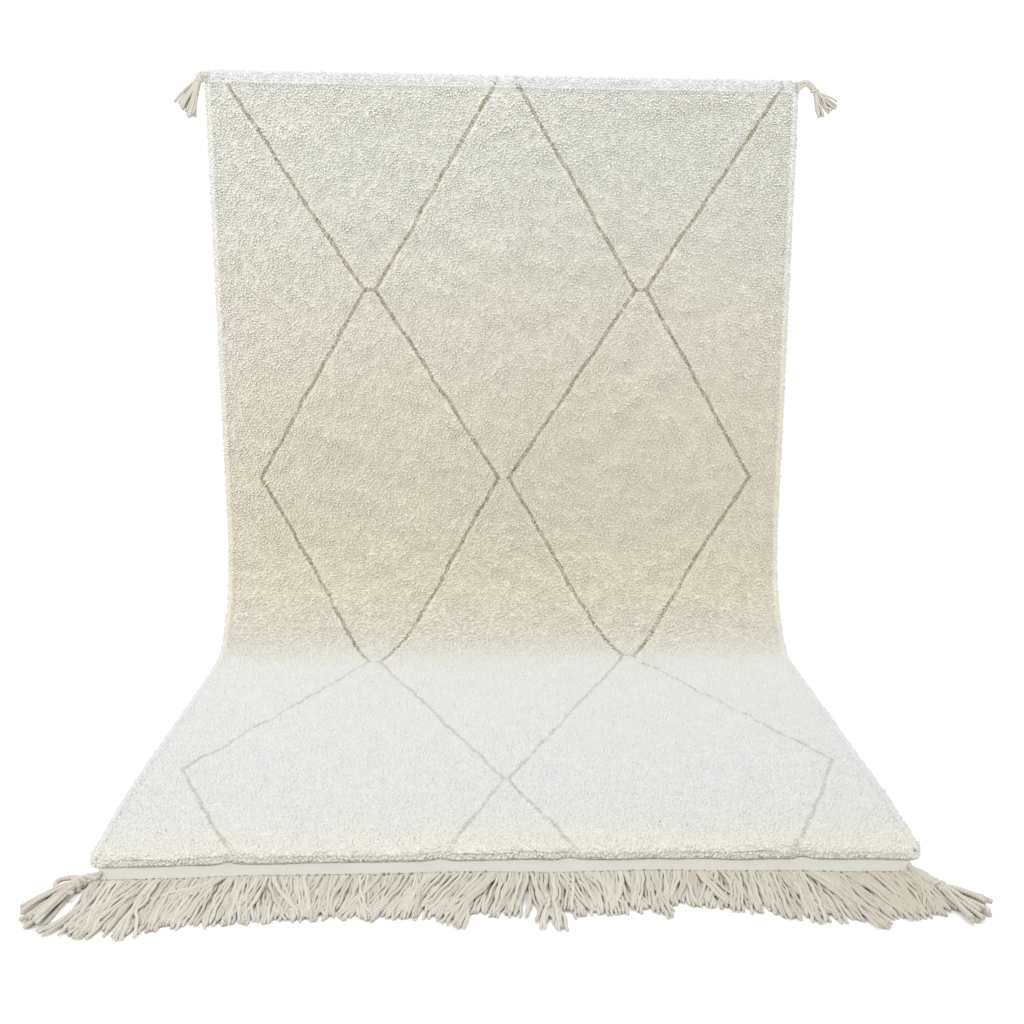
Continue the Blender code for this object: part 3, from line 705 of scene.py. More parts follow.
def make_rim(routes):
    """The knots that wrap round the rug's four edges."""
    rng = np.random.default_rng(SEED + 2)
    groups = []
    for side in RIM_ROUND:
        for k, angle in enumerate(rim_rows(side)):
            along = np.arange(RIM_STEP * (0.5 + 0.5 * (k % 2)), side_length(side), RIM_STEP)
            along = along + rng.normal(0.0, STRAY * RIM_STEP, len(along))
            u, s = rim_side(side, angle, along, rng.normal(0.0, RIM_JITTER, len(along)))
            surface, normal = rim_surface(side, angle, u, s)
            surface = surface + rng.normal(0.0, RIM_JITTER, len(u)) * math.sin(angle)
            down, out = directions(s)[1:]
            size = sizes(rng, len(u), RIM_LOCK, 0.20)
            centre = place(u, s, surface) - normal * RIM_SUNK
            centre[:, 2] = np.maximum(centre[:, 2], FLOOR + LEAST_HEIGHT)
            # On an edge that faces up or down the rug, a knot still hangs towards the back.
            hangs = down if side != "top" else down - out * math.sin(angle)
            turn = rng.normal(0.0, 0.22, len(u))
            brown = rim_brown(side, u, s, routes)
            groups.append(lay_knots(rng, s, centre, normal, hangs, size, turn, brown))
    return knot_piece("rim_knots", *joined(groups))


def make_rim_core():
    """The smooth roll of wool that the rim's locks stand on, round the rug's four edges."""
    points, faces, reaches, first = [], [], [], 0
    for side in RIM_ROUND:
        length = side_length(side)
        steps = round(length / RIM_CORE_STEP)
        along = np.linspace(RIM_CORE_INSET, length - RIM_CORE_INSET, steps)
        # The roll's inner edge is tucked into the bed, so that nobody looks in under it.
        u, s = np.broadcast_arrays(*rim_side(side, 0.0, along, RIM_CORE_TUCK))
        rows = [place(u, s, BED_HEIGHT + lump(u, s) - RIM_CORE_UNDER_BED)]
        reaches.append(s)
        for angle in rim_rows(side):
            u, s = np.broadcast_arrays(*rim_side(side, angle, along, 0.0))
            surface, normal = rim_surface(side, angle, u, s)
            rows.append(place(u, s, surface) - normal * RIM_CORE_SUNK)
            reaches.append(s)
        if side != "front":
            # Its outer edge is tucked under the cloth's back in the same way.
            tuck = CLOTH_INSET + RIM_CORE_TUCK
            u, s = np.broadcast_arrays(*rim_side(side, math.pi / 2, along, tuck))
            rows.append(place(u, s, -HALF_THICKNESS + RIB_DEPTH))
            reaches.append(s)
        grid = np.array(rows)
        grid[..., 2] = np.maximum(grid[..., 2], FLOOR + GAP)
        index = first + np.arange(len(rows) * len(along)).reshape(len(rows), len(along))
        corner = np.cross(grid[1, 1] - grid[1, 0], grid[0, 0] - grid[1, 0])
        outwards = (corner * normal[0]).sum() < 0
        faces.append(quads(index) if outwards else quads(index)[:, ::-1])
        points.append(grid.reshape(-1, 3))
        first += index.size
    colours = plain_wool(np.concatenate(reaches))
    return mesh_object("rim_core", np.concatenate(points), faces, colours)


# ---- the cloth under the pile


BACK_ROWS = 432
FRONT_EVERY = 4
COLUMNS = 74
RIB_DEPTH = 0.0011
BED_ROUND = 0.005


def make_ground():
    """The knotted cloth as one closed sheet: a bed for the knots, and a ribbed back."""
    rows = np.linspace(CLOTH_INSET, PILE_LENGTH - CLOTH_INSET, BACK_ROWS + 1)
    columns = np.linspace(-HALF_WIDTH + CLOTH_INSET, HALF_WIDTH - CLOTH_INSET, COLUMNS + 1)
    s, u = np.meshgrid(rows, columns, indexing="ij")
    rib = RIB_DEPTH * (np.arange(BACK_ROWS + 1) % 2)[:, None] + 0.0006 * noise_at(u, s, 0.030, 4.0)
    edge = (u == columns[0]) | (u == columns[-1]) | (s == rows[0]) | (s == rows[-1])
    back = place(u, s, -HALF_THICKNESS + np.where(edge, 0.0, rib))
    back[..., 2] = np.maximum(back[..., 2], FLOOR)
    front_s, front_u = s[::FRONT_EVERY], u[::FRONT_EVERY]
    from_end = np.minimum(front_s, PILE_LENGTH - front_s) - CLOTH_INSET
    rounded = BED_ROUND * smooth(1.0 - from_end / RIM_ROUND["top"])
    raised = FOOT_BED * on_foot(front_s) - rounded
    front = place(front_u, front_s, BED_HEIGHT + lump(front_u, front_s) + raised)

    wide = COLUMNS + 1
    low = np.arange(s.size).reshape(BACK_ROWS + 1, wide)
    high = s.size + np.arange(front_s.size).reshape(len(front_s), wide)
    sides = []
    for column in (0, -1):
        for k in range(len(front_s) - 1):
            strip = low[FRONT_EVERY * k : FRONT_EVERY * (k + 1) + 1, column]
            ring = [high[k + 1, column], high[k, column], *strip]
            sides.append(ring[::-1] if column == 0 else ring)
    ends = []
    for row in (0, -1):
        strip = np.stack([low[row, :-1], low[row, 1:], high[row, 1:], high[row, :-1]], axis=-1)
        ends.append(strip if row == 0 else strip[:, ::-1])
    faces = [quads(low)[:, ::-1], quads(high), *ends, np.array(sides)]
    points = np.concatenate([back.reshape(-1, 3), front.reshape(-1, 3)])
    flat_s = np.concatenate([s.ravel(), front_s.ravel()])
    flat_u = np.concatenate([u.ravel(), front_u.ravel()])
    corners = np.concatenate([np.ravel(block) for block in faces])
    weave = np.stack([flat_u, flat_s], axis=-1)[corners]
    return mesh_object("rug_ground", points, faces, plain_wool(flat_s), {"weave": weave})


BACK_PITCH = (0.0070, 0.0060)
BACK_COVER = 0.56
BACK_KNOT_HEIGHT = 0.0018
BACK_INSET = 0.012


def make_back_knots(runs):
    """The backs of the lines' knots, which step across the cloth's back."""
    rng = np.random.default_rng(SEED + 3)
    wide, long = BACK_PITCH
    cells = set()
    for start, end in runs:
        for u, s in line_route(start, end, long / 3):
            cells |= {(round(u / wide), round(s / long)), (round(u / wide) + 1, round(s / long))}
    u, s = np.array(sorted(cells)).T * np.array(((wide,), (long,)))
    inside = (np.abs(u) < HALF_WIDTH - BACK_INSET) & (s > BACK_INSET) & (s < PILE_LENGTH - BACK_INSET)
    u, s = u[inside], s[inside]
    down, out = directions(s)[1:]
    centre = place(u, s, -HALF_THICKNESS + RIB_DEPTH)
    lock = (wide * BACK_COVER, long * BACK_COVER, BACK_KNOT_HEIGHT)
    size = sizes(rng, len(u), lock, 0.12)
    points = knots_on(centre, -out, down, np.zeros(len(u)), size, rng)
    brown = np.clip(rng.normal(0.66, 0.16, len(u)), 0.1, 1.0)
    return knot_piece("back_knots", s, points, knot_colours(s, brown, rng))


# ---- yarns


YARN_SIDES = 6
PLIES = 2
BAKE_ROWS = 4


def yarn_piece(name, paths, radius, shade, reference=(0.0, 0.0, 1.0)):
    """One object of yarns: tubes along the paths (yarns, points, 3), with a shade for each."""
    count, steps = paths.shape[:2]
    ahead = unit(np.gradient(paths, axis=1))
    aside = unit(np.cross(ahead, np.broadcast_to(reference, ahead.shape)))
    above = np.cross(aside, ahead)
    around = 2 * math.pi * np.arange(YARN_SIDES) / YARN_SIDES
    ring = aside[:, :, None] * np.cos(around)[:, None] + above[:, :, None] * np.sin(around)[:, None]
    points = paths[:, :, None] + ring * np.broadcast_to(radius, (count, steps))[..., None, None]
    index = np.arange(count * steps * YARN_SIDES).reshape(count, steps, YARN_SIDES)
    following = np.roll(index, -1, axis=2)
    walls = np.stack([index[:, :-1], following[:, :-1], following[:, 1:], index[:, 1:]], axis=-1)
    ends = np.stack([index[:, 0, ::-1], index[:, -1]], axis=1).reshape(-1, YARN_SIDES)
    stretch = np.linalg.norm(np.diff(paths, axis=1), axis=-1)
    along = np.concatenate([np.zeros((count, 1)), np.cumsum(stretch, axis=1)], axis=1)
    tip = along / along[:, -1:]
    colours = np.broadcast_arrays(0.0, shade[:, None, None], tip[..., None] + 0.0 * around)

    share = np.arange(YARN_SIDES) / YARN_SIDES
    corner_share = share[:, None] + np.array((0.0, 1.0, 1.0, 0.0)) / YARN_SIDES
    corner_share = np.broadcast_to(corner_share, (count, steps - 1, YARN_SIDES, 4))
    corner_step = np.arange(steps - 1)[:, None, None] + np.array((0, 0, 1, 1))
    corner_step = np.broadcast_to(corner_step, corner_share.shape[1:])
    strand = np.stack([PLIES * corner_share, along[:, corner_step]], axis=-1).reshape(-1, 2)
    cells = bake_cells(np.stack([corner_share, tip[:, corner_step]], axis=-1))
    maps = {
        "OFBake": np.concatenate(cells),
        "strand": np.concatenate([strand, np.zeros((ends.size, 2))]),
    }
    faces = [walls.reshape(-1, 4), ends]
    return mesh_object(name, points.reshape(-1, 3), faces, np.stack(colours, -1).reshape(-1, 3), maps)


def bake_cells(bake):
    """Lays each yarn's own strip of the bake map into its own cell, and its two ends beside it."""
    columns = math.ceil(len(bake) / BAKE_ROWS)
    row, column = np.divmod(np.arange(len(bake)), columns)
    corner = np.stack([column / columns, row / BAKE_ROWS], axis=-1)
    cell = np.array((0.90 / columns, 0.92 / BAKE_ROWS))
    walls = corner[:, None, None, None] + bake * cell
    around = 2 * math.pi * np.arange(YARN_SIDES) / YARN_SIDES
    disc = 0.5 + 0.4 * np.stack([np.cos(around), np.sin(around)], axis=-1)
    lift = np.array((0.0, 0.945 / BAKE_ROWS))
    size = np.array((0.40 / columns, 0.045 / BAKE_ROWS))
    shift = np.array(((0.0, 0.0), (0.48 / columns, 0.0)))
    ends = corner[:, None, None] + lift + shift[:, None] + disc * size
    return walls.reshape(-1, 2), ends.reshape(-1, 2)


def curve(points, count):
    """A smooth curve of that many points, which passes through the given ones."""
    points = np.asarray(points, float)
    held = np.concatenate([[2 * points[0] - points[1]], points, [2 * points[-1] - points[-2]]])
    at = np.linspace(0.0, len(points) - 1 - 1e-9, count)
    i = at.astype(int)
    t = (at - i)[:, None]
    a, b, c, d = held[i], held[i + 1], held[i + 2], held[i + 3]
    bend = 2 * a - 5 * b + 4 * c - d
    return 0.5 * (2 * b + (c - a) * t + bend * t**2 + (3 * b - a - 3 * c + d) * t**3)


# ---- the end band and its fringe


BAND_COLUMNS = 190
BAND_STEPS = 13
YARN = 0.0029
YARN_PITCH = 0.0023
UNDER_BUNDLES = 60
UNDER_PITCH = 0.0042
UNDER_SHARE = 1.04
UNDER_SWING = 0.55
UNDER_LIFT = -2.0
FRINGE_STEPS = 15
FRINGE_FORM = (
    # a bundle's root across the band, how far it reaches and its swing in degrees
    (-0.715, 0.160, -4.0),
    (-0.650, 0.162, -8.0),
    (-0.600, 0.160, -15.0),
    (-0.500, 0.150, -17.0),
    (-0.455, 0.142, 2.0),
    (-0.420, 0.140, 9.0),
    (-0.330, 0.134, -4.0),
    (-0.200, 0.130, -20.0),
    (-0.100, 0.146, -22.0),
    (-0.020, 0.136, -18.0),
    (0.030, 0.136, -10.0),
    (0.100, 0.134, 6.0),
    (0.140, 0.132, 14.0),
    (0.190, 0.126, 8.0),
    (0.310, 0.104, -7.0),
    (0.400, 0.124, 0.0),
    (0.450, 0.140, 4.0),
    (0.530, 0.150, 20.0),
    (0.640, 0.142, 17.0),
    (0.715, 0.134, 6.0),
)
LAYER_RISE = 0.0021
BUNDLE_WIDTHS = (0.012, 0.026)
BUNDLE_REACHES = (0.86, 1.12)
BUNDLE_LIFTS = (0.4, 1.2)
BUNDLE_SWING = 8.0
BUNDLE_CURL = 0.25
LAST_BUNDLE = 0.006
OVER_SHARE = 0.16
OVER_SWING = 20.0
OVER_LIFT = 2.0
YARN_REACHES = (0.88, 1.06)
YARN_THICKNESSES = (0.85, 1.18)
ROOT_UNDER_BAND = 0.004
WIGGLE = 0.0009
WIGGLE_SIZES = (0.0068, 0.0080, 0.0105)
TIED = (-0.030, 0.083, -0.610, 0.560, 0.262)
TIED_SWING = {-0.030: -32.0}
TIED_LONGER = 1.42
TIED_LONGEST = 0.185
YARN_SHADE = 0.55
TASSEL_SHADE = 0.42
SHADE_SPREAD = 0.16
# how far to the right the yarns grow darker: partly tanner yarn, partly painted shade
TANNER_AND_SHADED_TO_RIGHT = {"from": 0.20, "over": 0.40, "by": 0.42}
TAN_YARNS = {"share": 0.09, "by": 0.5}


def band_start(x):
    """How far forward the band starts at x, without the lip's wander."""
    return profile(BAND_BACK)[0] - front_bow(x / (1.0 - taper_share(x)))


def band_back(x):
    """How far forward the band's back edge lies at x, just past the cloth that it grows from."""
    return band_start(x) + lip_wave(x)


def band_front(x):
    """How far forward the band's front edge lies at x, a little uneven."""
    return band_start(x) + BAND_LENGTH + BAND_UNEVEN * noise_at(x, 0.0, BAND_UNEVEN_SIZE)


def make_band():
    """The flat-woven band at the front end, a thin closed sheet on the floor."""
    x, share = np.meshgrid(
        np.linspace(-BAND_HALF_WIDTH, BAND_HALF_WIDTH, BAND_COLUMNS),
        np.linspace(0.0, 1.0, BAND_STEPS + 1),
        indexing="ij",
    )
    y = -band_back(x) + (band_back(x) - band_front(x)) * share
    ripple = 0.0012 * noise_at(x, y, 0.060, 5.0) * np.sin(math.pi * share)
    top = np.stack([x, y, FLOOR + BAND_THICKNESS + ripple], axis=-1)
    bottom = np.stack([x, y, np.full_like(x, FLOOR)], axis=-1)
    high = np.arange(x.size).reshape(x.shape)
    low = high + x.size

    def wall(upper, lower):
        return np.stack([upper[:-1], upper[1:], lower[1:], lower[:-1]], axis=-1)

    faces = [
        quads(high)[:, ::-1],
        quads(low),
        wall(high[:, 0], low[:, 0])[:, ::-1],
        wall(high[:, -1], low[:, -1]),
        wall(high[0], low[0]),
        wall(high[-1], low[-1])[:, ::-1],
    ]
    points = np.concatenate([top.reshape(-1, 3), bottom.reshape(-1, 3)])
    return mesh_object("end_band", points, faces, np.tile((0.0, 0.5, 1.0), (len(points), 1)))


def fringe_form(x):
    """How far the fringe reaches at x, and its swing in degrees."""
    roots, reaches, swings = zip(*FRINGE_FORM)
    return np.interp(x, roots, reaches), np.interp(x, roots, swings)


def fringe_bundles(rng):
    """The bundles that the fringe falls into, from left to right, and a few that lie over them."""
    bundles, left = [], -BAND_HALF_WIDTH
    while left < BAND_HALF_WIDTH - LAST_BUNDLE:
        width = min(rng.uniform(*BUNDLE_WIDTHS), BAND_HALF_WIDTH - left)
        middle = left + width / 2
        reach, swing = fringe_form(middle)
        nearest = min(TIED, key=lambda x: abs(middle - x))
        tied = abs(middle - nearest) < width / 2
        over = not tied and rng.uniform() < OVER_SHARE
        swing = swing + (OVER_SWING if over else BUNDLE_SWING) * rng.normal()
        bundles.append({
            "middle": middle, "width": width, "tied": tied, "pitch": YARN_PITCH,
            "swing": TIED_SWING.get(nearest, swing) if tied else swing,
            "length": reach * rng.uniform(*BUNDLE_REACHES),
            "lift": OVER_LIFT if over or tied else rng.uniform(*BUNDLE_LIFTS),
            "curl": rng.normal(0.0, BUNDLE_CURL),
        })
        left += width
    return bundles


def under_bundles():
    """The even layer of yarns on the floor, which fills what shows between the bundles."""
    width = 2 * BAND_HALF_WIDTH / UNDER_BUNDLES
    bundles = []
    for middle in -BAND_HALF_WIDTH + width * (np.arange(UNDER_BUNDLES) + 0.5):
        reach, swing = fringe_form(middle)
        bundles.append({
            "middle": middle, "width": width, "tied": False, "pitch": UNDER_PITCH,
            "swing": UNDER_SWING * swing, "length": reach * UNDER_SHARE,
            "lift": UNDER_LIFT, "curl": 0.0,
        })
    return bundles


def bundle_paths(bundle, rng):
    """The yarns of one bundle: they start side by side, cross a little and part at the tips."""
    count = max(4, round(bundle["width"] / bundle["pitch"]))
    share = np.linspace(0.0, 1.0, FRINGE_STEPS)
    spread = (np.arange(count) + rng.uniform(-0.3, 1.3, count)) / count - 0.5
    root = bundle["middle"] + spread * bundle["width"]
    length = bundle["length"] * rng.uniform(*YARN_REACHES, count)
    if bundle["tied"]:
        length = np.minimum(length * TIED_LONGER, TIED_LONGEST)
    step = length[:, None] * np.diff(share, prepend=0.0)
    heading = math.radians(bundle["swing"])
    angle = heading * smooth(0.30 + 1.5 * share) + bundle["curl"] * (share - 0.3)
    angle = angle + (rng.normal(0.0, 0.08, count) + 0.10 * spread)[:, None] * smooth(3 * share)
    angle = angle + rng.normal(0.0, 0.16, count)[:, None] * (share - 0.2)
    x = root[:, None] + np.cumsum(np.sin(angle) * step, axis=1)
    y = -band_front(root)[:, None] + ROOT_UNDER_BAND - np.cumsum(np.cos(angle) * step, axis=1)
    gathered = 0.12 * smooth(share / 0.15) + 0.26 * smooth((share - 0.3) / 0.7)
    if bundle["tied"]:
        gathered = gathered + 0.55 * np.exp(-(((share - 0.60) / 0.10) ** 2))
    mean = x.mean(axis=0)
    x = x - (x - mean) * gathered
    reach = np.cumsum(step, axis=1)
    phase = rng.uniform(0.0, 2 * math.pi, (3, count, 1))
    waves = [np.sin(reach / size + start) for size, start in zip(WIGGLE_SIZES, phase)]
    x = x + WIGGLE * waves[0] * smooth(reach / 0.02)
    y = y + WIGGLE * waves[1] * smooth(reach / 0.02)
    layer = np.clip(rng.integers(0, 4, count) - 0.5 + bundle["lift"], 0.0, 4.0)
    rise = smooth(reach / 0.022) * (1.0 - 0.60 * smooth((share - 0.5) / 0.5))
    z = FLOOR + YARN * 1.12 + LAYER_RISE * layer[:, None] * rise
    z = z + WIGGLE * (1.0 + waves[2]) * rise
    return np.stack([x, y, z], axis=-1)


def make_fringe():
    """The warp ends beyond the band: nearly a thousand twisted yarns in leaning bundles."""
    rng = np.random.default_rng(SEED + 4)
    groups = []
    for bundle in [*under_bundles(), *fringe_bundles(rng)]:
        paths = bundle_paths(bundle, rng)
        shade = YARN_SHADE + 0.10 * rng.normal() + rng.normal(0.0, SHADE_SPREAD, len(paths))
        # The yarns are darker towards the right, partly tanner yarn and partly painted shade for
        # light that falls from the left, and a few are tan all over.
        shade = shade - TANNER_AND_SHADED_TO_RIGHT["by"] * smooth((bundle["middle"] - TANNER_AND_SHADED_TO_RIGHT["from"]) / TANNER_AND_SHADED_TO_RIGHT["over"])
        tan = rng.uniform(size=len(paths)) < TAN_YARNS["share"]
        groups.append((paths, np.clip(shade - TAN_YARNS["by"] * tan, 0.0, 1.0)))
    paths, shades = joined(groups)
    share = np.linspace(0.0, 1.0, FRINGE_STEPS)
    uneven = 1.0 + rng.normal(0.0, 0.05, (len(paths), FRINGE_STEPS))
    radius = YARN * rng.uniform(*YARN_THICKNESSES, (len(paths), 1)) * uneven
    radius = radius * (1.0 - 0.35 * smooth((share - 0.93) / 0.07))
    return yarn_piece("end_fringe", paths, radius, shades)


# ---- tassels


TASSELS = (
    # where the cords start and the knot sits, then the loose yarns: their swing from straight
    # down or straight forward, how far they spread, their length, by what share those on the
    # left are longer than that, and their radius
    {
        "node": "top_tassel_left", "side": -1, "floor": False,
        "start": (0.744, -0.006, 0.000), "start_run": (0.0, -0.004, -0.020), "arch": 0.002,
        "knot": (0.7615, -0.010, -0.009), "heading": 28.0, "splay": 19.0, "length": 0.084,
        "skew": -0.10, "yarn": 0.0037, "cords": 6, "yarns": 19, "knot_size": 0.0084,
    },
    {
        "node": "top_tassel_right", "side": 1, "floor": False,
        "start": (0.744, -0.008, -0.018), "start_run": (0.0, -0.004, -0.026), "arch": 0.012,
        "knot": (0.789, -0.010, -0.038), "heading": 37.0, "splay": 29.0, "length": 0.060,
        "skew": 0.0, "yarn": 0.0031, "cords": 5, "yarns": 15, "knot_size": 0.0074,
    },
    {
        "node": "front_tassel_left", "side": -1, "floor": True,
        "start": (0.706, -1.270, 0.006), "start_run": (0.0, -0.030, 0.0), "arch": 0.0,
        "knot": (0.734, -1.320, 0.010), "heading": 22.0, "splay": 11.0, "length": 0.106,
        "skew": -0.14, "yarn": 0.0038, "cords": 9, "yarns": 21, "knot_size": 0.0115,
    },
    {
        "node": "front_tassel_right", "side": 1, "floor": True,
        "start": (0.706, -1.262, 0.006), "start_run": (0.0, -0.028, 0.0), "arch": 0.0,
        "knot": (0.730, -1.342, 0.010), "heading": 30.0, "splay": 25.0, "length": 0.086,
        "skew": 0.24, "yarn": 0.0041, "cords": 6, "yarns": 17, "knot_size": 0.0100,
    },
)
TASSEL_STEPS = 14
WRAPS = 3
LOOPS = (
    # the front left tassel's two loose loops, seen from above, from its knot
    ((0.012, 0.012), (-0.012, 0.016), (-0.029, 0.008), (-0.031, -0.008), (-0.018, -0.018)),
    ((0.002, 0.000), (-0.014, -0.006), (-0.021, -0.021), (-0.008, -0.033), (0.010, -0.035)),
)


def tassel_frame(form):
    """A tassel's knot, and the directions ahead of it, aside and up."""
    angle = math.radians(form["heading"])
    side = form["side"]
    knot = np.array(form["knot"]) * (side, 1.0, 1.0)
    if form["floor"]:
        knot = knot + (0.0, 0.0, FLOOR)
        ahead = np.array((side * math.sin(angle), -math.cos(angle), 0.0))
        up = np.array((0.0, 0.0, 1.0))
    else:
        ahead = np.array((side * math.sin(angle), 0.0, -math.cos(angle)))
        up = np.array((0.0, -1.0, 0.0))
    return knot, ahead, np.cross(ahead, up), up


def tassel_cords(form, rng):
    """The cords from the rug's corner to the knot, and the front left knot's loose loops."""
    knot, ahead, aside, up = tassel_frame(form)
    base = np.array((0.0, 0.0, FLOOR if form["floor"] else 0.0))
    paths = []
    for i in range(form["cords"]):
        share = (i + 0.5) / form["cords"]
        around = 2 * math.pi * share + 0.6
        hold = aside * math.cos(around) + up * math.sin(around)
        start = np.array(form["start"]) + np.array(form["start_run"]) * share
        start = start * (form["side"], 1.0, 1.0) + base
        enter = knot - ahead * form["knot_size"] * 1.1 + hold * form["knot_size"] * 0.55
        middle = (start + enter) / 2 + up * form["knot_size"] * rng.uniform(0.1, 0.6)
        middle = middle + aside * form["knot_size"] * rng.uniform(-0.5, 0.5)
        middle = middle + np.array((0.0, 0.0, form["arch"]))
        through = knot + ahead * form["knot_size"] * 0.6 + hold * form["knot_size"] * 0.3
        paths.append(curve([start, middle, enter, through], TASSEL_STEPS))
    if form["node"] == "front_tassel_left":
        for loop in LOOPS:
            lain = [knot + (x, y, 1.4 * form["yarn"]) for x, y in loop]
            paths.append(curve(lain, TASSEL_STEPS))
    return np.array(paths)


def tassel_skirt(form, rng):
    """The loose yarns beyond the knot, which spread like a small broom."""
    knot, ahead, aside, up = tassel_frame(form)
    paths = []
    for i in range(form["yarns"]):
        share = 2.0 * (i + 0.5) / form["yarns"] - 1.0
        level = (0.5, -0.6, 0.9, -0.1)[i % 4]
        angle = math.radians(form["splay"]) * share + rng.normal(0.0, 0.07)
        way = ahead * math.cos(angle) + aside * math.sin(angle)
        hold = (aside * share + up * level) * form["knot_size"]
        length = form["length"] * rng.uniform(0.90, 1.04) * (1.0 + form["skew"] * share)
        neck = knot + ahead * form["knot_size"] * 0.9 + hold * 0.50
        points = [knot - ahead * form["knot_size"] * 0.5 + hold * 0.4, neck]
        for along in (0.33, 0.67, 1.0):
            lift = up * level * form["knot_size"] * (0.6 - 0.3 * along)
            stray = aside * rng.normal(0.0, 0.0018) + up * rng.normal(0.0, 0.0008)
            points.append(neck + way * length * along + lift + stray)
        paths.append(curve(points, TASSEL_STEPS))
    return np.array(paths)


def tassel_wraps(form):
    """The knot itself: turns of yarn round the cords, at a slant."""
    knot, ahead, aside, up = tassel_frame(form)
    turn = np.linspace(0.0, 2.3 * math.pi, TASSEL_STEPS)
    paths = []
    for i in range(WRAPS):
        place_along = i - (WRAPS - 1) / 2
        slant = 0.50 * (-1.0) ** i
        radius = form["knot_size"] * (1.0 - 0.12 * abs(place_along))
        around = turn + 2.1 * i
        ring = aside * np.cos(around)[:, None] + up * np.sin(around)[:, None] * 0.85
        shift = place_along * form["yarn"] * 1.7 + slant * radius * np.cos(around)
        paths.append(knot + ring * radius + ahead * shift[:, None])
    return np.array(paths)


def make_tassels():
    """The four corner tassels, a piece each."""
    rng = np.random.default_rng(SEED + 5)
    made = []
    for form in TASSELS:
        ahead, aside, up = tassel_frame(form)[1:]
        lying = up * 0.95 + aside * 0.1
        groups = []
        for paths, thick, axis in (
            (tassel_cords(form, rng), 1.10, lying),
            (tassel_skirt(form, rng), 1.00, lying),
            (tassel_wraps(form), 1.05, ahead),
        ):
            radius = form["yarn"] * thick * rng.uniform(0.9, 1.12, (len(paths), 1))
            if form["floor"]:
                paths[..., 2] = np.maximum(paths[..., 2], FLOOR + radius * 1.02)
            shade = np.clip(rng.normal(TASSEL_SHADE, SHADE_SPREAD, len(paths)), 0.0, 1.0)
            groups.append((paths, radius, shade, np.tile(axis, (len(paths), 1, 1))))
        piece = yarn_piece(form["node"] + "_yarns", *joined(groups))
        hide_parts(form["node"])
        made.append(piece)
    return made


# ---- materials


WOOL_TONES_AND_PAINTED_LIGHT = (
    # how far down the rug, and the wool's colour there, partly its own and partly painted light and
    # shade: the creamier hanging part and the whiter foot stand in for the light falling on each; the
    # darker rim, to about 3 cm, is painted shade against its highlight, and the lighter rows just
    # past it are painted light over the shade in the seam below the rim; towards the front end it
    # grows a little darker
    (0.000, (0.655, 0.662, 0.657)),
    (0.0275, (0.628, 0.632, 0.612)),
    (0.0325, (0.765, 0.765, 0.722)),
    (0.060, (0.728, 0.728, 0.684)),
    (0.250, (0.733, 0.733, 0.684)),
    (0.500, (0.750, 0.732, 0.670)),
    (1.000, (0.757, 0.727, 0.628)),
    (1.350, (0.778, 0.749, 0.644)),
    (1.460, (0.745, 0.724, 0.644)),
    (1.535, (0.745, 0.735, 0.686)),
    (1.630, (0.748, 0.748, 0.739)),
    (1.900, (0.722, 0.727, 0.722)),
    (2.300, (0.690, 0.694, 0.690)),
    (2.480, (0.680, 0.688, 0.670)),
    (2.585, (0.705, 0.693, 0.640)),
)
WOOL_FINISH = {
    "Roughness": 0.95, "Specular IOR Level": 0.15, "Sheen Weight": 0.12, "Sheen Roughness": 0.6,
}
BACK_DEEPER = (0.84, 0.82, 0.76)
# painted shade in the grooves between the yarn's plies
GROOVE_PAINTED_SHADE = (0.89, 0.88, 0.85)
GROOVE_SHARE = 0.22
LINE_BROWN = (0.310, 0.268, 0.172)
YARN_CREAM = (0.606, 0.588, 0.525)
YARN_DEEP = (0.510, 0.480, 0.405)
BAND_CREAM = (0.552, 0.546, 0.508)
# the band's deeper colour, also used as painted shade between its ribs
BAND_DEEP_AND_RIB_SHADE = (0.505, 0.494, 0.444)
SHADE_RANGE = (0.91, 1.03)
TWIST_PER_METRE = 155.0


def new_material(name):
    made = bpy.data.materials.new(name)
    made.use_nodes = True
    return made, made.node_tree


def add_node(tree, kind, inputs=None, **settings):
    """A new node's outputs. Its inputs are numbers, colours or outputs of other nodes."""
    node = tree.nodes.new("ShaderNode" + kind)
    for name, value in settings.items():
        setattr(node, name, value)
    for key, value in (inputs or {}).items():
        if isinstance(value, bpy.types.NodeSocket):
            tree.links.new(value, node.inputs[key])
        else:
            is_colour = node.inputs[key].type == "RGBA"
            node.inputs[key].default_value = (*value, 1.0) if is_colour else value
    return node.outputs


def wool_values(tree):
    """The three values that each point of a wool mesh carries: brown, shade and reach."""
    values = add_node(tree, "Attribute", attribute_name="wool")["Color"]
    return add_node(tree, "SeparateColor", {"Color": values})[:3]


def mixed(tree, factor, a, b, blend="MIX"):
    """A colour between a and b, each a colour or a socket."""
    inputs = {0: factor, 6: a, 7: b}
    return add_node(tree, "Mix", inputs, data_type="RGBA", blend_type=blend)[2]


def ranged(tree, value, low, high, to_low=0.0, to_high=1.0):
    """The value's range from low to high, mapped to another and clamped."""
    limits = {"From Min": low, "From Max": high, "To Min": to_low, "To Max": to_high}
    return add_node(tree, "MapRange", {"Value": value, **limits})["Result"]


def shaded(tree, shade, colour):
    """The colour, made darker or lighter by a knot's own shade."""
    level = ranged(tree, shade, 0.0, 1.0, *SHADE_RANGE)
    grey = add_node(tree, "CombineColor", {"Red": level, "Green": level, "Blue": level})["Color"]
    return mixed(tree, 1.0, colour, grey, "MULTIPLY")


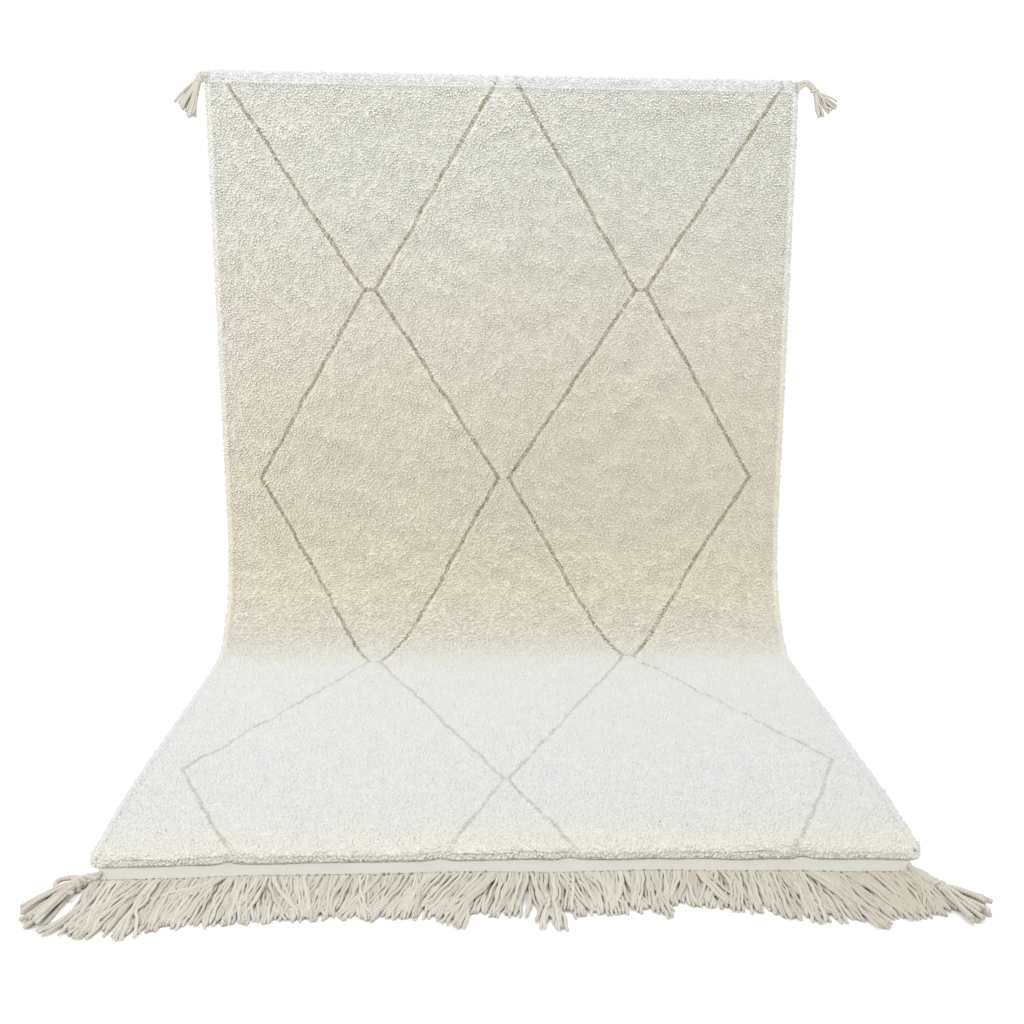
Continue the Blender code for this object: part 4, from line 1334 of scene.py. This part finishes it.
def noise_texture(tree, scale, detail, stretch=(1.0, 1.0, 1.0), uv=None):
    """Noise in the object's space, or on one of its maps."""
    if uv:
        source = add_node(tree, "UVMap", uv_map=uv)["UV"]
    else:
        source = add_node(tree, "TexCoord")["Object"]
    source = add_node(tree, "Mapping", {"Vector": source, "Scale": stretch})["Vector"]
    inputs = {"Vector": source, "Scale": scale, "Detail": detail}
    return add_node(tree, "TexNoise", inputs)["Fac"]


def tone_and_light_ramp(tree, reach):
    """The wool's colour along the rug, with painted light and shade in it."""
    ramp = tree.nodes.new("ShaderNodeValToRGB")
    elements = ramp.color_ramp.elements
    elements.remove(elements[0])
    for i, (s, colour) in enumerate(WOOL_TONES_AND_PAINTED_LIGHT):
        element = elements.new(s / PILE_LENGTH) if i else elements[0]
        element.position = s / PILE_LENGTH
        element.color = (*colour, 1.0)
    tree.links.new(reach, ramp.inputs["Fac"])
    return ramp.outputs["Color"]


def finish_wool(made, colour, height, strength, distance):
    """Makes the material matt wool of that colour, with its bumps."""
    tree = made.node_tree
    shader = tree.nodes["Principled BSDF"]
    for name, value in WOOL_FINISH.items():
        shader.inputs[name].default_value = value
    bumps = {"Height": height, "Strength": strength, "Distance": distance}
    tree.links.new(add_node(tree, "Bump", bumps)["Normal"], shader.inputs["Normal"])
    tree.links.new(colour, shader.inputs["Base Color"])
    return made


def pile_material():
    """Cream pile wool, with brown knots in the lines, and painted light and shade in its colour along
    the rug; the brown of the knots at the front is partly painted shadow.
    """
    made, tree = new_material("wool_pile")
    brown, shade, reach = wool_values(tree)
    colour = mixed(tree, brown, shaded(tree, shade, tone_and_light_ramp(tree, reach)), LINE_BROWN)
    hairs = noise_texture(tree, scale=480.0, detail=3.0)
    return finish_wool(made, colour, hairs, strength=0.45, distance=0.0016)


def back_material():
    """The cloth's back: rows of knots' backs between wefts."""
    made, tree = new_material("wool_back")
    brown, _, reach = wool_values(tree)
    knots = noise_texture(tree, scale=150.0, detail=2.0, stretch=(1.0, 1.35, 1.0), uv="weave")
    # The wool's colour along the rug, with its painted light and shade, as on the face.
    tone_and_light = tone_and_light_ramp(tree, reach)
    deep = mixed(tree, 1.0, tone_and_light, BACK_DEEPER, "MULTIPLY")
    colour = mixed(tree, ranged(tree, knots, 0.35, 0.65), tone_and_light, deep)
    colour = mixed(tree, brown, colour, LINE_BROWN)
    return finish_wool(made, colour, knots, strength=0.7, distance=0.003)


def yarn_material():
    """Spun wool yarn of two plies, whose twist shows as slanting ridges, with painted shade in the
    grooves between them.
    """
    made, tree = new_material("fringe_yarn")
    shade = wool_values(tree)[1]
    strand = add_node(tree, "UVMap", uv_map="strand")["UV"]
    around, along = add_node(tree, "SeparateXYZ", {"Vector": strand})[:2]
    turns = {0: along, 1: TWIST_PER_METRE, 2: around}
    twist = add_node(tree, "Math", turns, operation="MULTIPLY_ADD")["Value"]
    wave = add_node(tree, "Math", {0: twist, 1: 0.5}, operation="PINGPONG")["Value"]
    groove = ranged(tree, wave, 0.0, GROOVE_SHARE)
    colour = mixed(tree, ranged(tree, shade, 0.1, 0.9), YARN_DEEP, YARN_CREAM)
    # The grooves between the plies are painted darker, as shade.
    dark = mixed(tree, 1.0, colour, GROOVE_PAINTED_SHADE, "MULTIPLY")
    colour = mixed(tree, groove, dark, colour)
    return finish_wool(made, colour, groove, strength=0.4, distance=0.0010)


def band_material():
    """Weft-faced flat weave: fine ribs across the band, with painted shade between them and clouds of
    deeper colour.
    """
    made, tree = new_material("band_weave")
    weave = noise_texture(tree, scale=420.0, detail=2.0, stretch=(0.35, 1.6, 1.0))
    clouds = noise_texture(tree, scale=14.0, detail=2.0)
    # Deeper where the ribs' bumps are low: painted shade between the ribs.
    colour = mixed(tree, ranged(tree, weave, 0.3, 0.7), BAND_DEEP_AND_RIB_SHADE, BAND_CREAM)
    colour = mixed(tree, ranged(tree, clouds, 0.35, 0.70, to_high=0.5), colour, BAND_DEEP_AND_RIB_SHADE)
    return finish_wool(made, colour, weave, strength=0.45, distance=0.0012)


# ---- the stage, light and camera


CAMERA_PLACE = (-0.015, -3.174, -0.444)
CAMERA_PITCH = 12.16
CAMERA_YAW = 0.69
FOCAL_PIXELS = 1192.0
IMAGE_SIDE = 1024
SENSOR = 36.0
STAGE_HALF = 14.0
STAGE_GREY = 0.95
WORLD_STRENGTH = 1.06
LAMPS = (
    {
        "name": "top_light", "from": (0.0, -1.3, 2.2), "to": (0.0, -0.2, -1.0),
        "size": (2.6, 1.4), "power": 32.0, "colour": (0.99, 0.995, 1.0),
    },
    {
        "name": "front_light", "from": (-1.4, -3.4, 1.0), "to": (0.0, 0.0, -0.8),
        "size": (2.5, 1.5), "power": 34.0, "colour": (1.0, 1.0, 1.0),
    },
)


def make_stage():
    """A plain white floor, just under the rug."""
    bpy.ops.mesh.primitive_plane_add(size=2 * STAGE_HALF, location=(0.0, 0.0, FLOOR - GAP / 2))
    floor = bpy.context.object
    floor.name = "floor"
    white, tree = new_material("floor_white")
    shader = tree.nodes["Principled BSDF"]
    shader.inputs["Base Color"].default_value = (STAGE_GREY, STAGE_GREY, STAGE_GREY, 1.0)
    shader.inputs["Roughness"].default_value = 1.0
    shader.inputs["Specular IOR Level"].default_value = 0.0
    floor.data.materials.append(white)


def make_light():
    """An even white surround, with soft lamps."""
    world = bpy.data.worlds.new("studio")
    world.use_nodes = True
    background = world.node_tree.nodes["Background"]
    background.inputs["Color"].default_value = (1.0, 1.0, 1.0, 1.0)
    background.inputs["Strength"].default_value = WORLD_STRENGTH
    bpy.context.scene.world = world
    for lamp in LAMPS:
        data = bpy.data.lights.new(lamp["name"], "AREA")
        data.shape = "RECTANGLE"
        data.size, data.size_y = lamp["size"]
        data.energy = lamp["power"]
        data.color = lamp["colour"]
        placed = bpy.data.objects.new(lamp["name"], data)
        placed.location = lamp["from"]
        way = Vector(lamp["to"]) - Vector(lamp["from"])
        placed.rotation_euler = way.to_track_quat("-Z", "Y").to_euler()
        bpy.context.scene.collection.objects.link(placed)


def make_camera():
    """The photograph's view of the rug."""
    data = bpy.data.cameras.new("camera")
    data.sensor_width = SENSOR
    data.lens = FOCAL_PIXELS / IMAGE_SIDE * SENSOR
    camera = bpy.data.objects.new("camera", data)
    camera.location = CAMERA_PLACE
    camera.rotation_euler = (math.radians(90.0 - CAMERA_PITCH), 0.0, -math.radians(CAMERA_YAW))
    bpy.context.scene.collection.objects.link(camera)
    bpy.context.scene.camera = camera
    bpy.context.scene.view_settings.view_transform = "Standard"


# ---- the whole


def dress(piece, material):
    """Gives a piece its material and slot, and fixes it to the model's one body."""
    piece.data.materials.append(material)
    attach(piece, "root")


def make_rug():
    """The knotted rug: its cloth and all its knots."""
    runs = lattice_runs()
    routes = [line_route(start, end, LINE_STEP) for start, end in runs]
    pile = [*make_pile(routes), make_lines(runs), make_front_threads_and_shadow()]
    pile += [make_rim(routes), make_rim_core()]
    wool, back = pile_material(), back_material()
    for piece in pile:
        dress(piece, wool)
    ground, knots = make_ground(), make_back_knots(runs)
    for piece in (ground, knots):
        dress(piece, back)
    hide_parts("pile_rug")


def make_end():
    """The end band, its fringe and the four tassels."""
    band, fringe, yarn = make_band(), make_fringe(), yarn_material()
    dress(band, band_material())
    dress(fringe, yarn)
    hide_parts("end_band_fringe")
    for tassel in make_tassels():
        dress(tassel, yarn)


make_camera()
make_light()
make_stage()
make_rug()
make_end()
